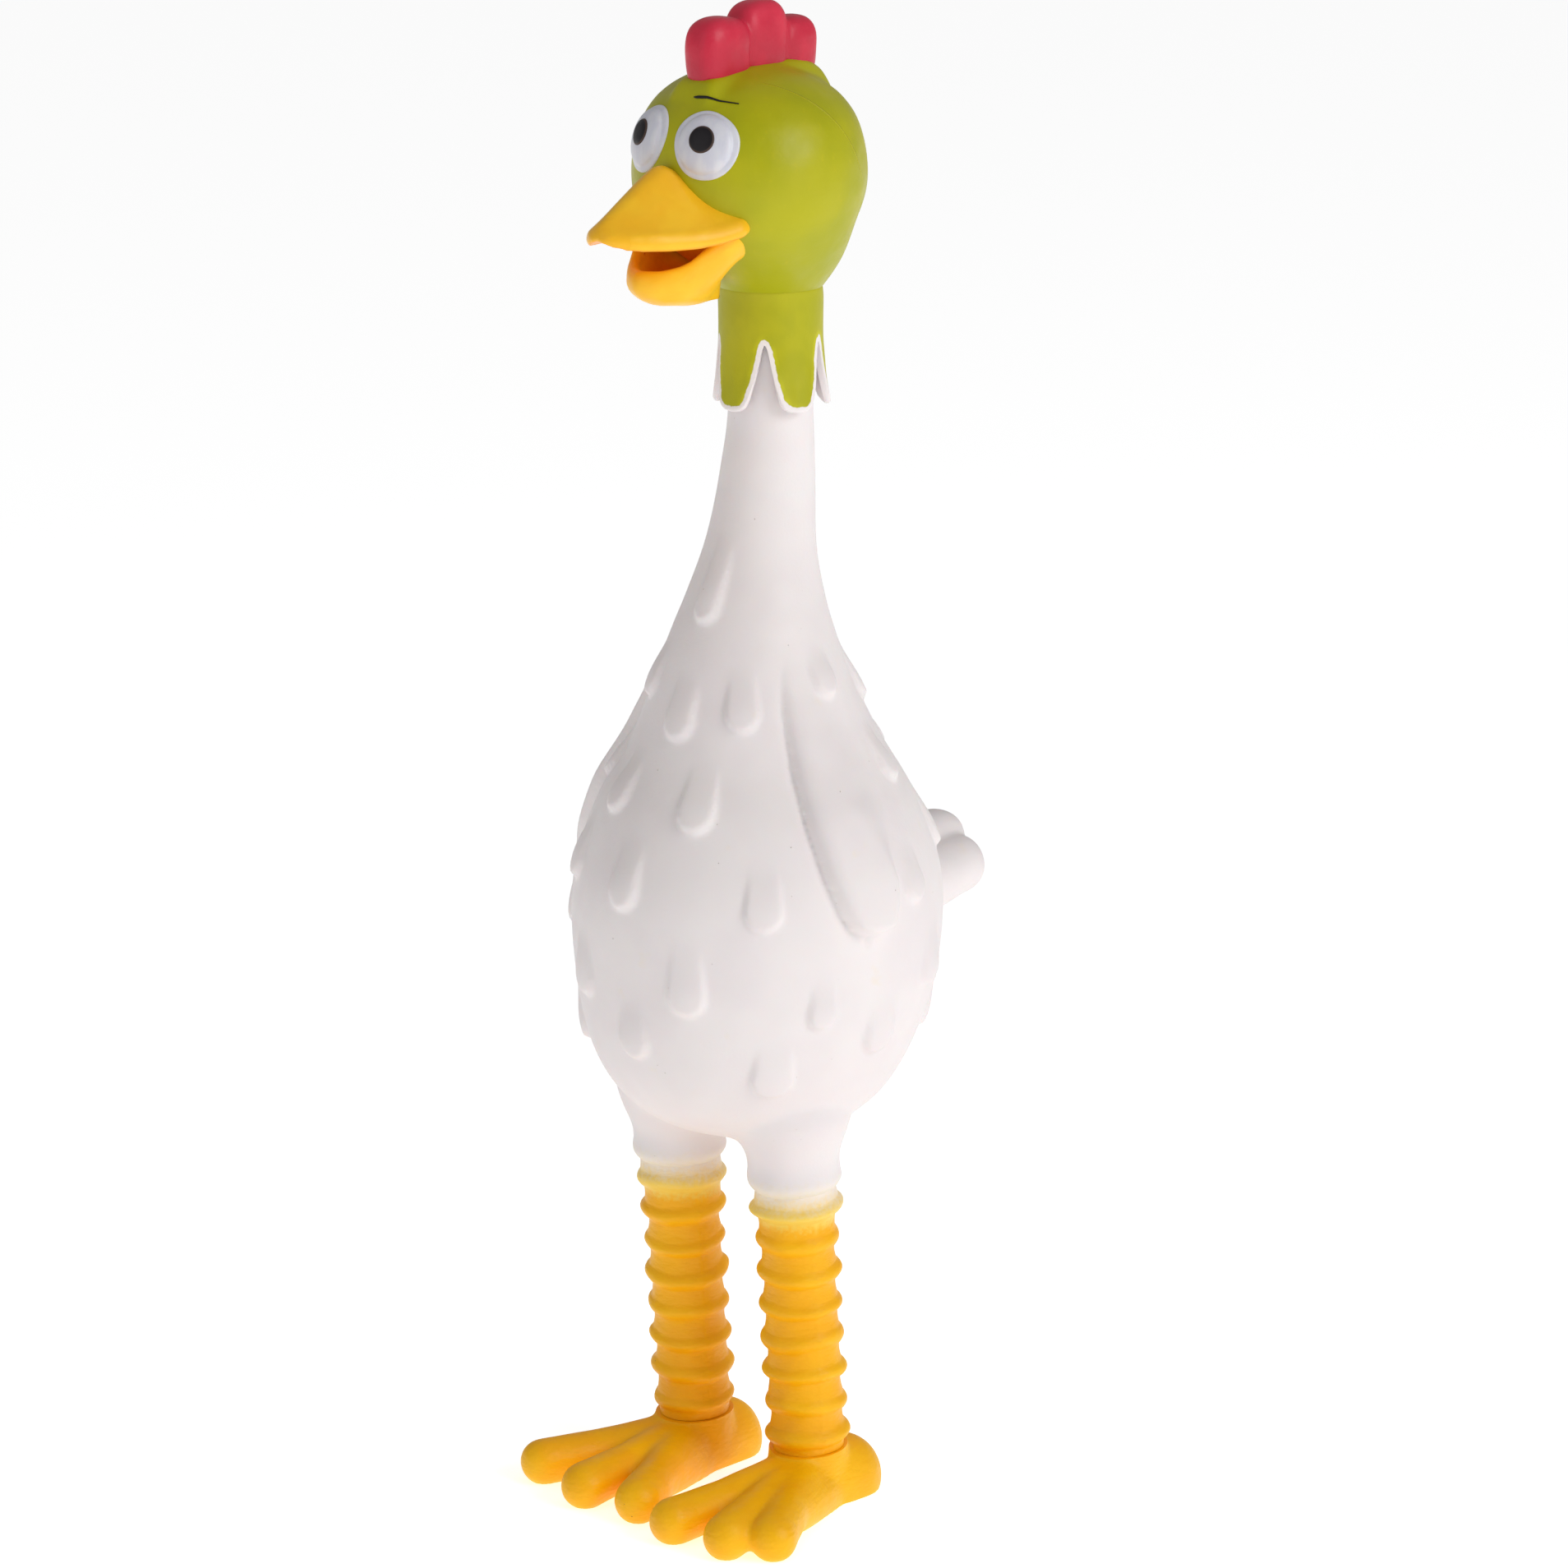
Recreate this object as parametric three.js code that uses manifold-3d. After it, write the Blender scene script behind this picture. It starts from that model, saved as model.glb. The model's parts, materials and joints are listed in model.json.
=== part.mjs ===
// A rubber chicken: one hollow latex moulding that stands on two ringed legs,
// with a fibre filling and a squeaker plugged into the underside of the belly.
// Millimetres, +Z up, the chicken faces -Y and its left side is +X.
//
// The moulding is split into nodes where its colour or its relief changes and
// where the rubber bends: three bellows sections in each leg, two in the neck,
// and the twisting sleeve under the head.

import * as THREE from 'three';
import { mergeVertices } from 'three/addons/utils/BufferGeometryUtils.js';
import { ConvexGeometry } from 'three/addons/geometries/ConvexGeometry.js';
import Module from 'manifold-3d';

const wasm = await Module();
wasm.setup();

// ---------------------------------------------------------------- sizes

const wall = 2.0; // thickness of the moulded skin
const gap = 0.3; // clearance between neighbouring pieces

const foot = {
  height: 13.2, // floor to the lowest leg ring
  ankleRadius: 9.4,
  toeRadius: 5.4,
  toeRootRadius: 6.6,
  middleToe: 43.5, // ankle axis to the tip
  innerToe: 42.5,
  outerToe: 39.5,
  toeSpread: 21, // degrees between neighbouring toes
  heelRadius: 8.8,
  heelReach: 18.5, // ankle axis to the back of the heel
  heelRise: 4, // height of the middle of the heel's bulge
  toeRootForward: 3, // how far in front of the ankle axis a toe's root is
  sink: 0.9, // how much of a toe's round underside is flattened on the floor
};

const leg = {
  spread: 17.8, // middle of the chicken to each ankle
  lean: 4.2, // degrees that the leg leans forwards, going up
  leftTurn: 18, // degrees that each foot is turned outwards
  rightTurn: 0,
  ringsPerSection: [2, 3, 3], // lower, middle and upper section
  pitch: 7.8, // one ring to the next
  ridgeRadius: 9.5,
  grooveRadius: 8.0,
  topFlare: 1.2, // how much wider the uppermost ring is
  wall: 1.7,
};

const thigh = {
  rise: 10.4, // uppermost ring to the lowest point of the belly
  hemRadius: 10.6,
  hemRise: 2.2, // of the hem above the uppermost ring
  rootRadius: 12.6,
  reach: 17, // how far the thigh runs up inside the belly
};

const body = {
  radius: 42.2, // at the belly
  height: 120, // lowest point of the belly to the foot of the neck
  rootRadius: 16.2, // at the foot of the neck
};

const neck = {
  setback: 6.8, // how far the neck stands behind the middle of the body
  lowerLength: 26,
  upperLength: 34,
  waistRadius: 10.9, // between its two bending lengths
  topRadius: 9.5, // inside the ruff
  sleeveRadius: 12.0,
  sleeveLength: 11,
};

const ruff = {
  length: 16,
  rimRadius: 13.5,
  thickness: 1.7,
  tongues: 5,
  notchHeight: 14.5,
  notchWidth: 7.4, // at the rim
};

const head = {
  radius: 25.9,
  height: 49.5,
  throatRadius: 11.8, // where it meets the sleeve
};

const comb = {
  thickness: 9.6,
  edge: 3.0, // rounding of its edges
  base: 5.0, // how deep its outline starts inside the head
  lobes: [
    // distance behind the middle of the head, height of the middle above the crown, radius
    [-11.5, 2.6, 7.9],
    [1.5, 4.4, 9.1],
    [14.0, 1.6, 7.6],
  ],
};

const eye = {
  angle: 20, // degrees from straight ahead
  rise: 0.69, // share of the head's height
  width: 14.5,
  tall: 15.5,
  raise: 1.7, // above the head
  depth: 5, // half the thickness of the flattened ball that the dome is part of
  skirt: 1.2, // how far the ball reaches past the dome's edge, inside the head
  lookUp: 18, // degrees
  pupilRadius: 2.8,
  pupilThickness: 0.8,
};

const beak = {
  gape: 0.354, // height of the mouth corners, as a share of the head's height
  cornerAngle: 38, // degrees from straight ahead
  peak: 0.596, // height of the ridge's root, the same way
  upperReach: 48.3, // middle of the head to the tip
  lip: 4.2, // thickness of the upper beak's edge
  droop: 1.6, // how much lower than the corners the tip hangs
  lowerReach: 38.3,
  lowerRim: 0.218, // height of the lower beak's rim, the same way
  lowerDepth: 12.4,
  lowerHalfWidth: 11.5,
  scoop: 6.5, // depth of the hollow in the lower beak
  lowerWall: 3, // sides of the lower beak, at its rim
  cornerOverlap: 1.5, // how far the upper beak reaches past the mouth corners
  ridgeHalfWidth: 3,
  ridgeArch: 1.5, // height of the ridge's bow above a straight line
  cheekDepth: 6, // how far the ridge's root runs back inside the forehead
};

const wing = {
  angle: 77, // degrees from straight ahead, at the rounded lower end
  shoulderAngle: 69,
  lowRise: 0.55, // share of the body's height
  highRise: 0.875,
  lowRadius: 13,
  highRadius: 5.2,
  raise: 4.6, // above the body at the lower end
  fade: 1.4, // above the body at the shoulder
};

const tail = {
  rise: 0.38, // share of the body's height
  lobeRadius: 6.3,
  rootRadius: 7.2, // of each lobe, where it meets the body
  reach: 24, // of the middle lobe, from just inside the back of the body
  sideShorter: 3, // how much shorter the side lobes are
  tilt: 8, // degrees upwards
  spread: 8, // between the middle lobe and a side lobe
  lift: 8, // of the middle lobe above the side lobes
};

const squeaker = {
  back: 23, // behind the middle of the belly's underside
  radius: 7,
  height: 15,
  wall: 1.4,
  flangeRadius: 9.2,
  flangeThickness: 1.8,
  airHole: 2.4,
  capThickness: 1.6,
  reedLength: 9,
  reedWidth: 3.6,
  reedThickness: 0.5,
};

// How many flat faces stand in for the round shapes.
const faces = {
  bodyAround: 28,
  bodyOutline: 16,
  headAround: 24,
  headOutline: 13,
  neckAround: 20,
  ruffAround: 24,
  lowerNeckOutline: 5,
  upperNeckOutline: 6,
  sleeveOutline: 3,
  legAround: 14,
  footAround: 20,
  squeakerAround: 20,
  ball: 12,
  wing: 16, // round each ball of a wing
  limb: 10, // round each ball of a toe or a tail lobe
  eyeAround: 16,
  pupilAround: 18,
  gape: 8, // along the mouth, from corner to corner
};

// ------------------------------------------------------- derived heights

const legLength = leg.pitch * leg.ringsPerSection.reduce((a, b) => a + b, 0);
const hipZ = foot.height + legLength;
const bellyZ = hipZ + thigh.rise;
const neckZ = bellyZ + body.height;
const waistZ = neckZ + neck.lowerLength;
const sleeveZ = waistZ + neck.upperLength;
const throatZ = sleeveZ + neck.sleeveLength;
const crownZ = throatZ + head.height;

// ------------------------------------------------------------- materials

const paint = (colour, roughness) =>
  new THREE.MeshStandardMaterial({ color: colour, roughness, metalness: 0 });

const whiteLatex = () => paint(0xe4dedc, 0.62);
const greenLatex = () => paint(0xb2ae1c, 0.5);
const redLatex = () => paint(0xd4374b, 0.5);
const yellowLatex = () => paint(0xf7b011, 0.5);
const eyeWhite = () => paint(0xd2d2da, 0.45);
const eyeBlack = () => paint(0x17151a, 0.35);
const fibre = () => paint(0xf2f2ee, 0.95);
const clearPlastic = () => paint(0xdfe3e4, 0.3);

// --------------------------------------------------------------- helpers

const radians = THREE.MathUtils.degToRad;
const smooth = THREE.MathUtils.smoothstep;

// The neck stands behind the body's middle, and the head comes forward again.
function axisY(z) {
  const back = smooth(z, neckZ - 20, sleeveZ - 14);
  const forward = smooth(z, throatZ - 3, throatZ + 17);
  return neck.setback * (back - forward);
}

// Moves a solid of revolution's rings onto the chicken's curved middle line.
function followAxis(geometry) {
  const place = geometry.attributes.position;
  for (let i = 0; i < place.count; i += 1) {
    place.setY(i, place.getY(i) + axisY(place.getZ(i)));
  }
  return geometry;
}

function smoothOutline(points, steps) {
  const curve = new THREE.SplineCurve(points.map(([r, z]) => new THREE.Vector2(r, z)));
  return curve.getPoints(steps);
}

// An outline moved inwards, or outwards if the distance is negative. It runs upwards.
function inset(points, distance) {
  return points.map((point, i) => {
    const before = points[Math.max(i - 1, 0)];
    const after = points[Math.min(i + 1, points.length - 1)];
    const along = after.clone().sub(before).normalize();
    const moved = new THREE.Vector2(point.x - along.y * distance, point.y + along.x * distance);
    moved.x = point.x === 0 ? 0 : Math.max(moved.x, 0);
    return moved;
  });
}

// Turns [radius, height] points round the Z axis. The points run upwards on the outside.
function revolve(points, segments) {
  const geometry = new THREE.LatheGeometry(points, segments);
  return geometry.rotateX(Math.PI / 2);
}

// A full solid below an outline, closed to the axis at both ends.
function revolveSolid(points, segments) {
  const low = points[0];
  const high = points[points.length - 1];
  const closed = [...points];
  if (low.x > 0) closed.unshift(new THREE.Vector2(0, low.y));
  if (high.x > 0) closed.push(new THREE.Vector2(0, high.y));
  return revolve(closed, segments);
}

// A hollow length of skin, open at both ends.
function revolveTube(outer, thickness, segments) {
  const inner = inset(outer, thickness).reverse();
  inner[0].y = outer[outer.length - 1].y;
  inner[inner.length - 1].y = outer[0].y;
  return revolve([...outer, ...inner, outer[0].clone()], segments);
}

function toSolid(geometry) {
  const bare = geometry.clone();
  bare.deleteAttribute('normal');
  bare.deleteAttribute('uv');
  const merged = mergeVertices(bare, 1e-4);
  const triangles = [];
  const index = merged.index.array;
  for (let i = 0; i < index.length; i += 3) {
    const [a, b, c] = [index[i], index[i + 1], index[i + 2]];
    if (a !== b && b !== c && c !== a) triangles.push(a, b, c);
  }
  return new wasm.Manifold(new wasm.Mesh({
    numProp: 3,
    vertProperties: new Float32Array(merged.attributes.position.array),
    triVerts: new Uint32Array(triangles),
  }));
}

function toGeometry(solid) {
  const mesh = solid.getMesh();
  const geometry = new THREE.BufferGeometry();
  geometry.setAttribute('position', new THREE.BufferAttribute(mesh.vertProperties, 3));
  geometry.setIndex(new THREE.BufferAttribute(mesh.triVerts, 1));
  geometry.computeVertexNormals();
  return geometry;
}

const join = (...solids) => solids.reduce((all, solid) => all.add(solid));

// The convex skin over balls: each is [centre, radius] or [centre, radius, x, y and z scale].
function hullOfBalls(balls, around = faces.ball) {
  const points = [];
  for (const [centre, radius, scale = [1, 1, 1]] of balls) {
    const ball = new THREE.SphereGeometry(radius, around, Math.round(around / 2));
    const place = ball.attributes.position;
    for (let i = 0; i < place.count; i += 1) {
      const point = new THREE.Vector3().fromBufferAttribute(place, i);
      points.push(point.multiply(new THREE.Vector3(...scale)).add(centre));
    }
  }
  return new ConvexGeometry(points);
}

function box(low, high) {
  const size = new THREE.Vector3().subVectors(high, low);
  const middle = new THREE.Vector3().addVectors(low, high).multiplyScalar(0.5);
  return new THREE.BoxGeometry(size.x, size.y, size.z).translate(middle.x, middle.y, middle.z);
}

const group = new THREE.Group();

function addPart(name, geometry, material, parent = group) {
  const mesh = new THREE.Mesh(geometry, material);
  mesh.name = name;
  parent.add(mesh);
  return mesh;
}

// ------------------------------------------------------------------ body

// Radius and height of the body as shares of its two sizes, from below to above.
const bodyShape = [
  [0, 0], [0.42, 0.012], [0.7, 0.068], [0.87, 0.147], [0.965, 0.25], [1, 0.375],
  [0.975, 0.5], [0.86, 0.63], [0.69, 0.74], [0.55, 0.85],
];
const bodyOutline = smoothOutline(
  [
    ...bodyShape.map(([r, h]) => [r * body.radius, bellyZ + h * body.height]),
    [body.rootRadius, neckZ],
  ],
  faces.bodyOutline,
);

function bodyRadiusAt(z) {
  const above = bodyOutline.findIndex((point) => point.y >= z);
  const [a, b] = [bodyOutline[above - 1], bodyOutline[above]];
  return THREE.MathUtils.mapLinear(z, a.y, b.y, a.x, b.x);
}

// A point on the body, or inside it by a depth. The angle is from straight ahead to its left.
function onBody(angle, z, depth = 0) {
  const reach = bodyRadiusAt(z) - depth;
  const turn = radians(angle);
  return new THREE.Vector3(reach * Math.sin(turn), axisY(z) - reach * Math.cos(turn), z);
}

function bodySolid(outwards) {
  return toSolid(followAxis(revolveSolid(inset(bodyOutline, -outwards), faces.bodyAround)));
}

// The frame of a leg: its middle line starts at the ankle and leans forwards.
function legMatrix(side) {
  const matrix = new THREE.Matrix4().makeRotationX(radians(leg.lean));
  return matrix.setPosition(side * leg.spread, 0, foot.height);
}

function thighSolid(side, inwards) {
  const past = inwards > 0 ? 2 : 0;
  const profile = [
    new THREE.Vector2(leg.grooveRadius + leg.topFlare - inwards, legLength - past),
    new THREE.Vector2(thigh.hemRadius - inwards, legLength + thigh.hemRise),
    new THREE.Vector2(thigh.rootRadius - inwards, legLength + thigh.rise),
    new THREE.Vector2(thigh.rootRadius - inwards, legLength + thigh.rise + thigh.reach),
  ];
  return toSolid(revolveSolid(profile, faces.legAround).applyMatrix4(legMatrix(side)));
}

// The hollow of the body, kept clear of the skin by the wall and an extra distance.
function bodyHollow(extra, topZ) {
  const profile = inset(bodyOutline, wall + extra);
  const top = profile[profile.length - 1];
  profile.push(new THREE.Vector2(top.x, topZ));
  return toSolid(followAxis(revolveSolid(profile, faces.bodyAround)));
}

// The frame of the squeaker: it starts on the belly's underside and its Z axis runs inwards.
function squeakerMatrix() {
  const outside = bodyOutline.findIndex((point) => point.x >= squeaker.back);
  const [a, b] = [bodyOutline[outside - 1], bodyOutline[outside]];
  const z = THREE.MathUtils.mapLinear(squeaker.back, a.x, b.x, a.y, b.y);
  const slope = Math.atan2(b.y - a.y, b.x - a.x);
  const matrix = new THREE.Matrix4().makeRotationX(slope);
  return matrix.setPosition(0, axisY(z) + squeaker.back, z);
}

function squeakerHole(radius) {
  const profile = [
    new THREE.Vector2(radius, -5),
    new THREE.Vector2(radius, squeaker.height + squeaker.capThickness + 4 * gap),
  ];
  return toSolid(revolveSolid(profile, faces.squeakerAround).applyMatrix4(squeakerMatrix()));
}

function makeBody() {
  const outside = join(bodySolid(0), thighSolid(1, 0), thighSolid(-1, 0));
  const hollow = join(bodyHollow(0, neckZ + 4), thighSolid(1, wall), thighSolid(-1, wall));
  const skin = outside.subtract(hollow).subtract(squeakerHole(squeaker.radius + gap));
  addPart('body_skin', toGeometry(skin), whiteLatex());

  const room = squeakerHole(squeaker.radius + 2 * gap);
  const filling = bodyHollow(gap, neckZ - 2).subtract(room);
  addPart('body_filling', toGeometry(filling), fibre());
}

function makeWing(name, side) {
  const lowZ = bellyZ + wing.lowRise * body.height;
  const highZ = bellyZ + wing.highRise * body.height;
  const shape = hullOfBalls([
    [onBody(side * wing.angle, lowZ, wing.lowRadius - wing.raise), wing.lowRadius],
    [onBody(side * wing.shoulderAngle, highZ, wing.highRadius - wing.fade), wing.highRadius],
  ], faces.wing);
  addPart(name, toGeometry(toSolid(shape).subtract(bodySolid(gap))), whiteLatex());
}

function makeTail() {
  const rootZ = bellyZ + tail.rise * body.height;
  const backY = bodyRadiusAt(rootZ) + axisY(rootZ);
  const along = new THREE.Vector3(0, Math.cos(radians(tail.tilt)), Math.sin(radians(tail.tilt)));
  const lobes = [-1, 0, 1].map((place) => {
    const lift = place === 0 ? tail.lift : 0;
    const root = new THREE.Vector3(place * tail.spread, backY - tail.lobeRadius, rootZ + lift);
    const reach = tail.reach - tail.sideShorter * Math.abs(place);
    const tip = root.clone().addScaledVector(along, reach);
    return toSolid(hullOfBalls([[root, tail.rootRadius], [tip, tail.lobeRadius]], faces.limb));
  });
  addPart('tail', toGeometry(join(...lobes).subtract(bodySolid(gap))), whiteLatex());
}

// -------------------------------------------------------------- squeaker

function makeSqueaker() {
  const s = squeaker;
  const frame = new THREE.Group();
  frame.applyMatrix4(squeakerMatrix());
  group.add(frame);
  const seat = -3 * gap;
  const low = seat - s.flangeThickness;
  const bore = s.radius - s.wall;
  const toPoints = (list) => list.map(([r, z]) => new THREE.Vector2(r, z));
  const housing = toPoints([
    [s.airHole, low], [s.flangeRadius, low], [s.flangeRadius, seat], [s.radius, seat],
    [s.radius, s.height], [bore, s.height], [bore, 0], [s.airHole, 0], [s.airHole, low],
  ]);
  addPart('squeaker_housing', revolve(housing, faces.squeakerAround), clearPlastic(), frame);

  const capLow = s.height + gap;
  const capTop = capLow + s.capThickness;
  const cap = toPoints([
    [s.airHole, capLow], [s.radius, capLow], [s.radius, capTop], [s.airHole, capTop],
    [s.airHole, capLow],
  ]);
  addPart('squeaker_cap', revolve(cap, faces.squeakerAround), clearPlastic(), frame);

  const reed = new THREE.BoxGeometry(s.reedWidth, s.reedThickness, s.reedLength);
  reed.translate(0, 0, s.height - gap - s.reedLength / 2);
  addPart('squeaker_reed', reed, clearPlastic(), frame);
}

// ------------------------------------------------------------------ neck

function makeNeck() {
  const around = faces.neckAround;
  const lower = smoothOutline([
    [body.rootRadius - 0.3, neckZ + gap],
    [(body.rootRadius + neck.waistRadius) / 2 - 1, neckZ + neck.lowerLength * 0.45],
    [neck.waistRadius, waistZ],
  ], faces.lowerNeckOutline);
  addPart('lower_neck', followAxis(revolveTube(lower, wall, around)), whiteLatex());

  const upper = smoothOutline([
    [neck.waistRadius, waistZ + gap],
    [neck.topRadius, waistZ + neck.upperLength * 0.5],
    [neck.topRadius, sleeveZ],
  ], faces.upperNeckOutline);
  addPart('upper_neck', followAxis(revolveTube(upper, wall, around)), whiteLatex());

  const sleeve = smoothOutline([
    [neck.sleeveRadius, sleeveZ + gap],
    [neck.sleeveRadius - 0.3, (sleeveZ + throatZ) / 2],
    [head.throatRadius, throatZ - gap],
  ], faces.sleeveOutline);
  addPart('neck_sleeve', followAxis(revolveTube(sleeve, wall, around)), greenLatex());
}

// The painted collar of tongues that hangs from the sleeve round the neck.
function makeRuff() {
  const rimZ = sleeveZ - ruff.length;
  const outer = smoothOutline([
    [ruff.rimRadius, rimZ],
    [neck.sleeveRadius + 0.5, rimZ + ruff.length * 0.45],
    [neck.sleeveRadius, sleeveZ],
  ], faces.sleeveOutline);
  const skirt = toSolid(followAxis(revolveTube(outer, ruff.thickness, faces.ruffAround)));
  const notchOutline = new THREE.Shape([
    new THREE.Vector2(-ruff.notchWidth / 2, -1),
    new THREE.Vector2(ruff.notchWidth / 2, -1),
    new THREE.Vector2(0, ruff.notchHeight),
  ]);
  const cutLength = ruff.rimRadius + 4;
  const cutter = new THREE.ExtrudeGeometry(notchOutline, { depth: cutLength, bevelEnabled: false });
  cutter.rotateX(Math.PI / 2);
  const notches = Array.from({ length: ruff.tongues }, (_, i) => {
    const turned = cutter.clone().rotateZ(((i + 0.5) * 2 * Math.PI) / ruff.tongues);
    return toSolid(turned.translate(0, axisY(rimZ), rimZ));
  });
  addPart('neck_ruff', toGeometry(skirt.subtract(join(...notches))), greenLatex());
}

// ------------------------------------------------------------------ head

// Radius and height of the head as shares of its two sizes, from the throat to the crown.
const headShape = [
  [0.7, 0.14], [0.87, 0.27], [0.97, 0.4], [1, 0.52], [0.965, 0.67], [0.86, 0.8],
  [0.66, 0.905], [0.36, 0.975], [0, 1],
];
const headOutline = smoothOutline(
  [
    [head.throatRadius, throatZ],
    ...headShape.map(([r, h]) => [r * head.radius, throatZ + h * head.height]),
  ],
  faces.headOutline,
);

function headRadiusAt(z) {
  const above = headOutline.findIndex((point) => point.y >= z);
  const [a, b] = [headOutline[above - 1], headOutline[above]];
  return THREE.MathUtils.mapLinear(z, a.y, b.y, a.x, b.x);
}

function onHead(angle, z, depth = 0) {
  const reach = headRadiusAt(z) - depth;
  const turn = radians(angle);
  return new THREE.Vector3(reach * Math.sin(turn), axisY(z) - reach * Math.cos(turn), z);
}

function headSolid(outwards) {
  return toSolid(followAxis(revolveSolid(inset(headOutline, -outwards), faces.headAround)));
}

function makeHead() {
  const inner = inset(headOutline, wall).reverse();
  inner[inner.length - 1].y = throatZ;
  const profile = [...headOutline, ...inner, headOutline[0].clone()];
  addPart('head_skin', followAxis(revolve(profile, faces.headAround)), greenLatex());
}

function makeComb() {
  const across = comb.thickness - 2 * comb.edge;
  const lobes = comb.lobes.map(([y, rise, radius]) => {
    const outline = new THREE.Shape();
    const flat = radius - comb.edge;
    outline.absarc(0, 0, flat, 0, Math.PI, false);
    outline.lineTo(-flat, -comb.base - rise);
    outline.lineTo(flat, -comb.base - rise);
    const lobe = new THREE.ExtrudeGeometry(outline, {
      depth: across,
      bevelSize: comb.edge,
      bevelThickness: comb.edge,
      bevelSegments: 2,
      curveSegments: 6,
    });
    lobe.translate(0, 0, -across / 2);
    lobe.rotateX(Math.PI / 2);
    lobe.rotateZ(Math.PI / 2);
    return toSolid(lobe.translate(0, y, crownZ + rise));
  });
  addPart('comb', toGeometry(join(...lobes).subtract(headSolid(gap))), redLatex());
}

function makeEye(prefix, side) {
  const centre = onHead(side * eye.angle, throatZ + eye.rise * head.height, eye.depth - eye.raise);
  const place = (geometry) => {
    geometry.rotateX(radians(-eye.lookUp));
    geometry.rotateZ(radians(side * eye.angle));
    return geometry.translate(centre.x, centre.y, centre.z);
  };
  const dome = new THREE.SphereGeometry(1, faces.eyeAround, faces.limb);
  dome.scale(eye.width / 2 + eye.skirt, eye.depth, eye.tall / 2 + eye.skirt);
  const ball = toSolid(place(dome));
  addPart(`${prefix}_eye`, toGeometry(ball.subtract(headSolid(gap))), eyeWhite());

  const { pupilRadius, pupilThickness } = eye;
  const pupil = new THREE.CylinderGeometry(
    pupilRadius, pupilRadius, pupilThickness, faces.pupilAround,
  );
  pupil.translate(0, -(eye.depth + gap + pupilThickness / 2), 0);
  addPart(`${prefix}_pupil`, place(pupil), eyeBlack());
}

// Points along half an ellipse that bulges forwards, from one mouth corner to the other.
function gapeArc(halfWidth, backY, frontY, z) {
  return Array.from({ length: faces.gape + 1 }, (_, i) => {
    const turn = (Math.PI * i) / faces.gape;
    const y = backY + (frontY - backY) * Math.sin(turn) ** 1.25;
    return new THREE.Vector3(halfWidth * Math.cos(turn), y, z);
  });
}

function makeBeak() {
  const gapeZ = throatZ + beak.gape * head.height;
  const peakZ = throatZ + beak.peak * head.height;
  const corner = onHead(beak.cornerAngle, gapeZ, wall);
  const tipY = axisY(gapeZ) - beak.upperReach;
  const rimHalf = corner.x + beak.cornerOverlap;
  const lipZ = gapeZ - beak.droop + beak.lip;
  const rim = gapeArc(rimHalf, corner.y, tipY, gapeZ - beak.droop);
  const lipTop = gapeArc(rimHalf + 0.5, corner.y, tipY + 1.2, lipZ);
  const { ridgeHalfWidth } = beak;
  const ridge = [0, 0.5].map((t) => {
    const root = onHead(0, peakZ, 0.5);
    const tip = new THREE.Vector3(0, tipY, lipZ);
    const point = root.clone().lerp(tip, t);
    point.z += 4 * beak.ridgeArch * t * (1 - t);
    const crest = point.clone().setZ(point.z + 0.8);
    return [point.clone().setX(ridgeHalfWidth), point.clone().setX(-ridgeHalfWidth), crest];
  }).flat();
  const backs = [ridgeHalfWidth, -ridgeHalfWidth].map(
    (x) => new THREE.Vector3(x, corner.y + beak.cheekDepth, peakZ),
  );
  const upper = toSolid(new ConvexGeometry([...rim, ...lipTop, ...ridge, ...backs]));
  const clearHead = headSolid(gap);
  addPart('upper_beak', toGeometry(upper.subtract(clearHead)), yellowLatex());

  const rimZ = throatZ + beak.lowerRim * head.height;
  const half = beak.lowerHalfWidth;
  const backY = axisY(rimZ) - head.throatRadius + 4;
  const frontY = axisY(gapeZ) - beak.lowerReach;
  const keelZ = rimZ - beak.lowerDepth;
  // Each row runs round the bowl: half its width, how far it is behind the tip, and its height.
  const rows = [
    [half + 1.5, 2, rimZ],
    [half + 1, 0, rimZ - beak.lowerDepth * 0.35],
    [half * 0.55, 7, keelZ + 0.6],
    [half * 0.3, 11, keelZ],
  ];
  const bowl = toSolid(new ConvexGeometry(
    rows.flatMap(([width, back, z]) => gapeArc(width, backY, frontY + back, z)),
  ));
  const hollow = new THREE.SphereGeometry(1, 18, 12);
  hollow.scale(half + 1.5 - beak.lowerWall, (backY - frontY) / 2, beak.scoop);
  hollow.translate(0, (frontY + backY) / 2 + beak.lowerWall, rimZ + 1);
  const clearNeck = toSolid(followAxis(revolveSolid([
    new THREE.Vector2(neck.sleeveRadius + 2 * gap, sleeveZ - 4),
    new THREE.Vector2(head.throatRadius + 2 * gap, throatZ + 1),
  ], 24)));
  const lower = bowl.subtract(toSolid(hollow)).subtract(clearHead).subtract(clearNeck);
  addPart('lower_beak', toGeometry(lower), yellowLatex());
}

// ------------------------------------------------------------------ legs

// The leg flares out over its two uppermost rings.
const flareAt = (z) => leg.topFlare * smooth(z, legLength - 2 * leg.pitch, legLength);

// A flat band, then a rounded ridge, for each ring of a bellows section.
function bellowsOutline(lowZ, rings) {
  const points = [];
  const raise = leg.ridgeRadius - leg.grooveRadius;
  const addPoint = (height, z) => {
    points.push(new THREE.Vector2(leg.grooveRadius + height * raise + flareAt(z), z));
  };
  for (let ring = 0; ring < rings; ring += 1) {
    const start = lowZ + ring * leg.pitch;
    for (const [share, height] of [[0, 0.1], [0.17, 0.8], [0.4, 0.9], [0.6, 0.1]]) {
      addPoint(height, start + share * leg.pitch);
    }
  }
  addPoint(0.1, lowZ + rings * leg.pitch - gap);
  return points;
}

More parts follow.
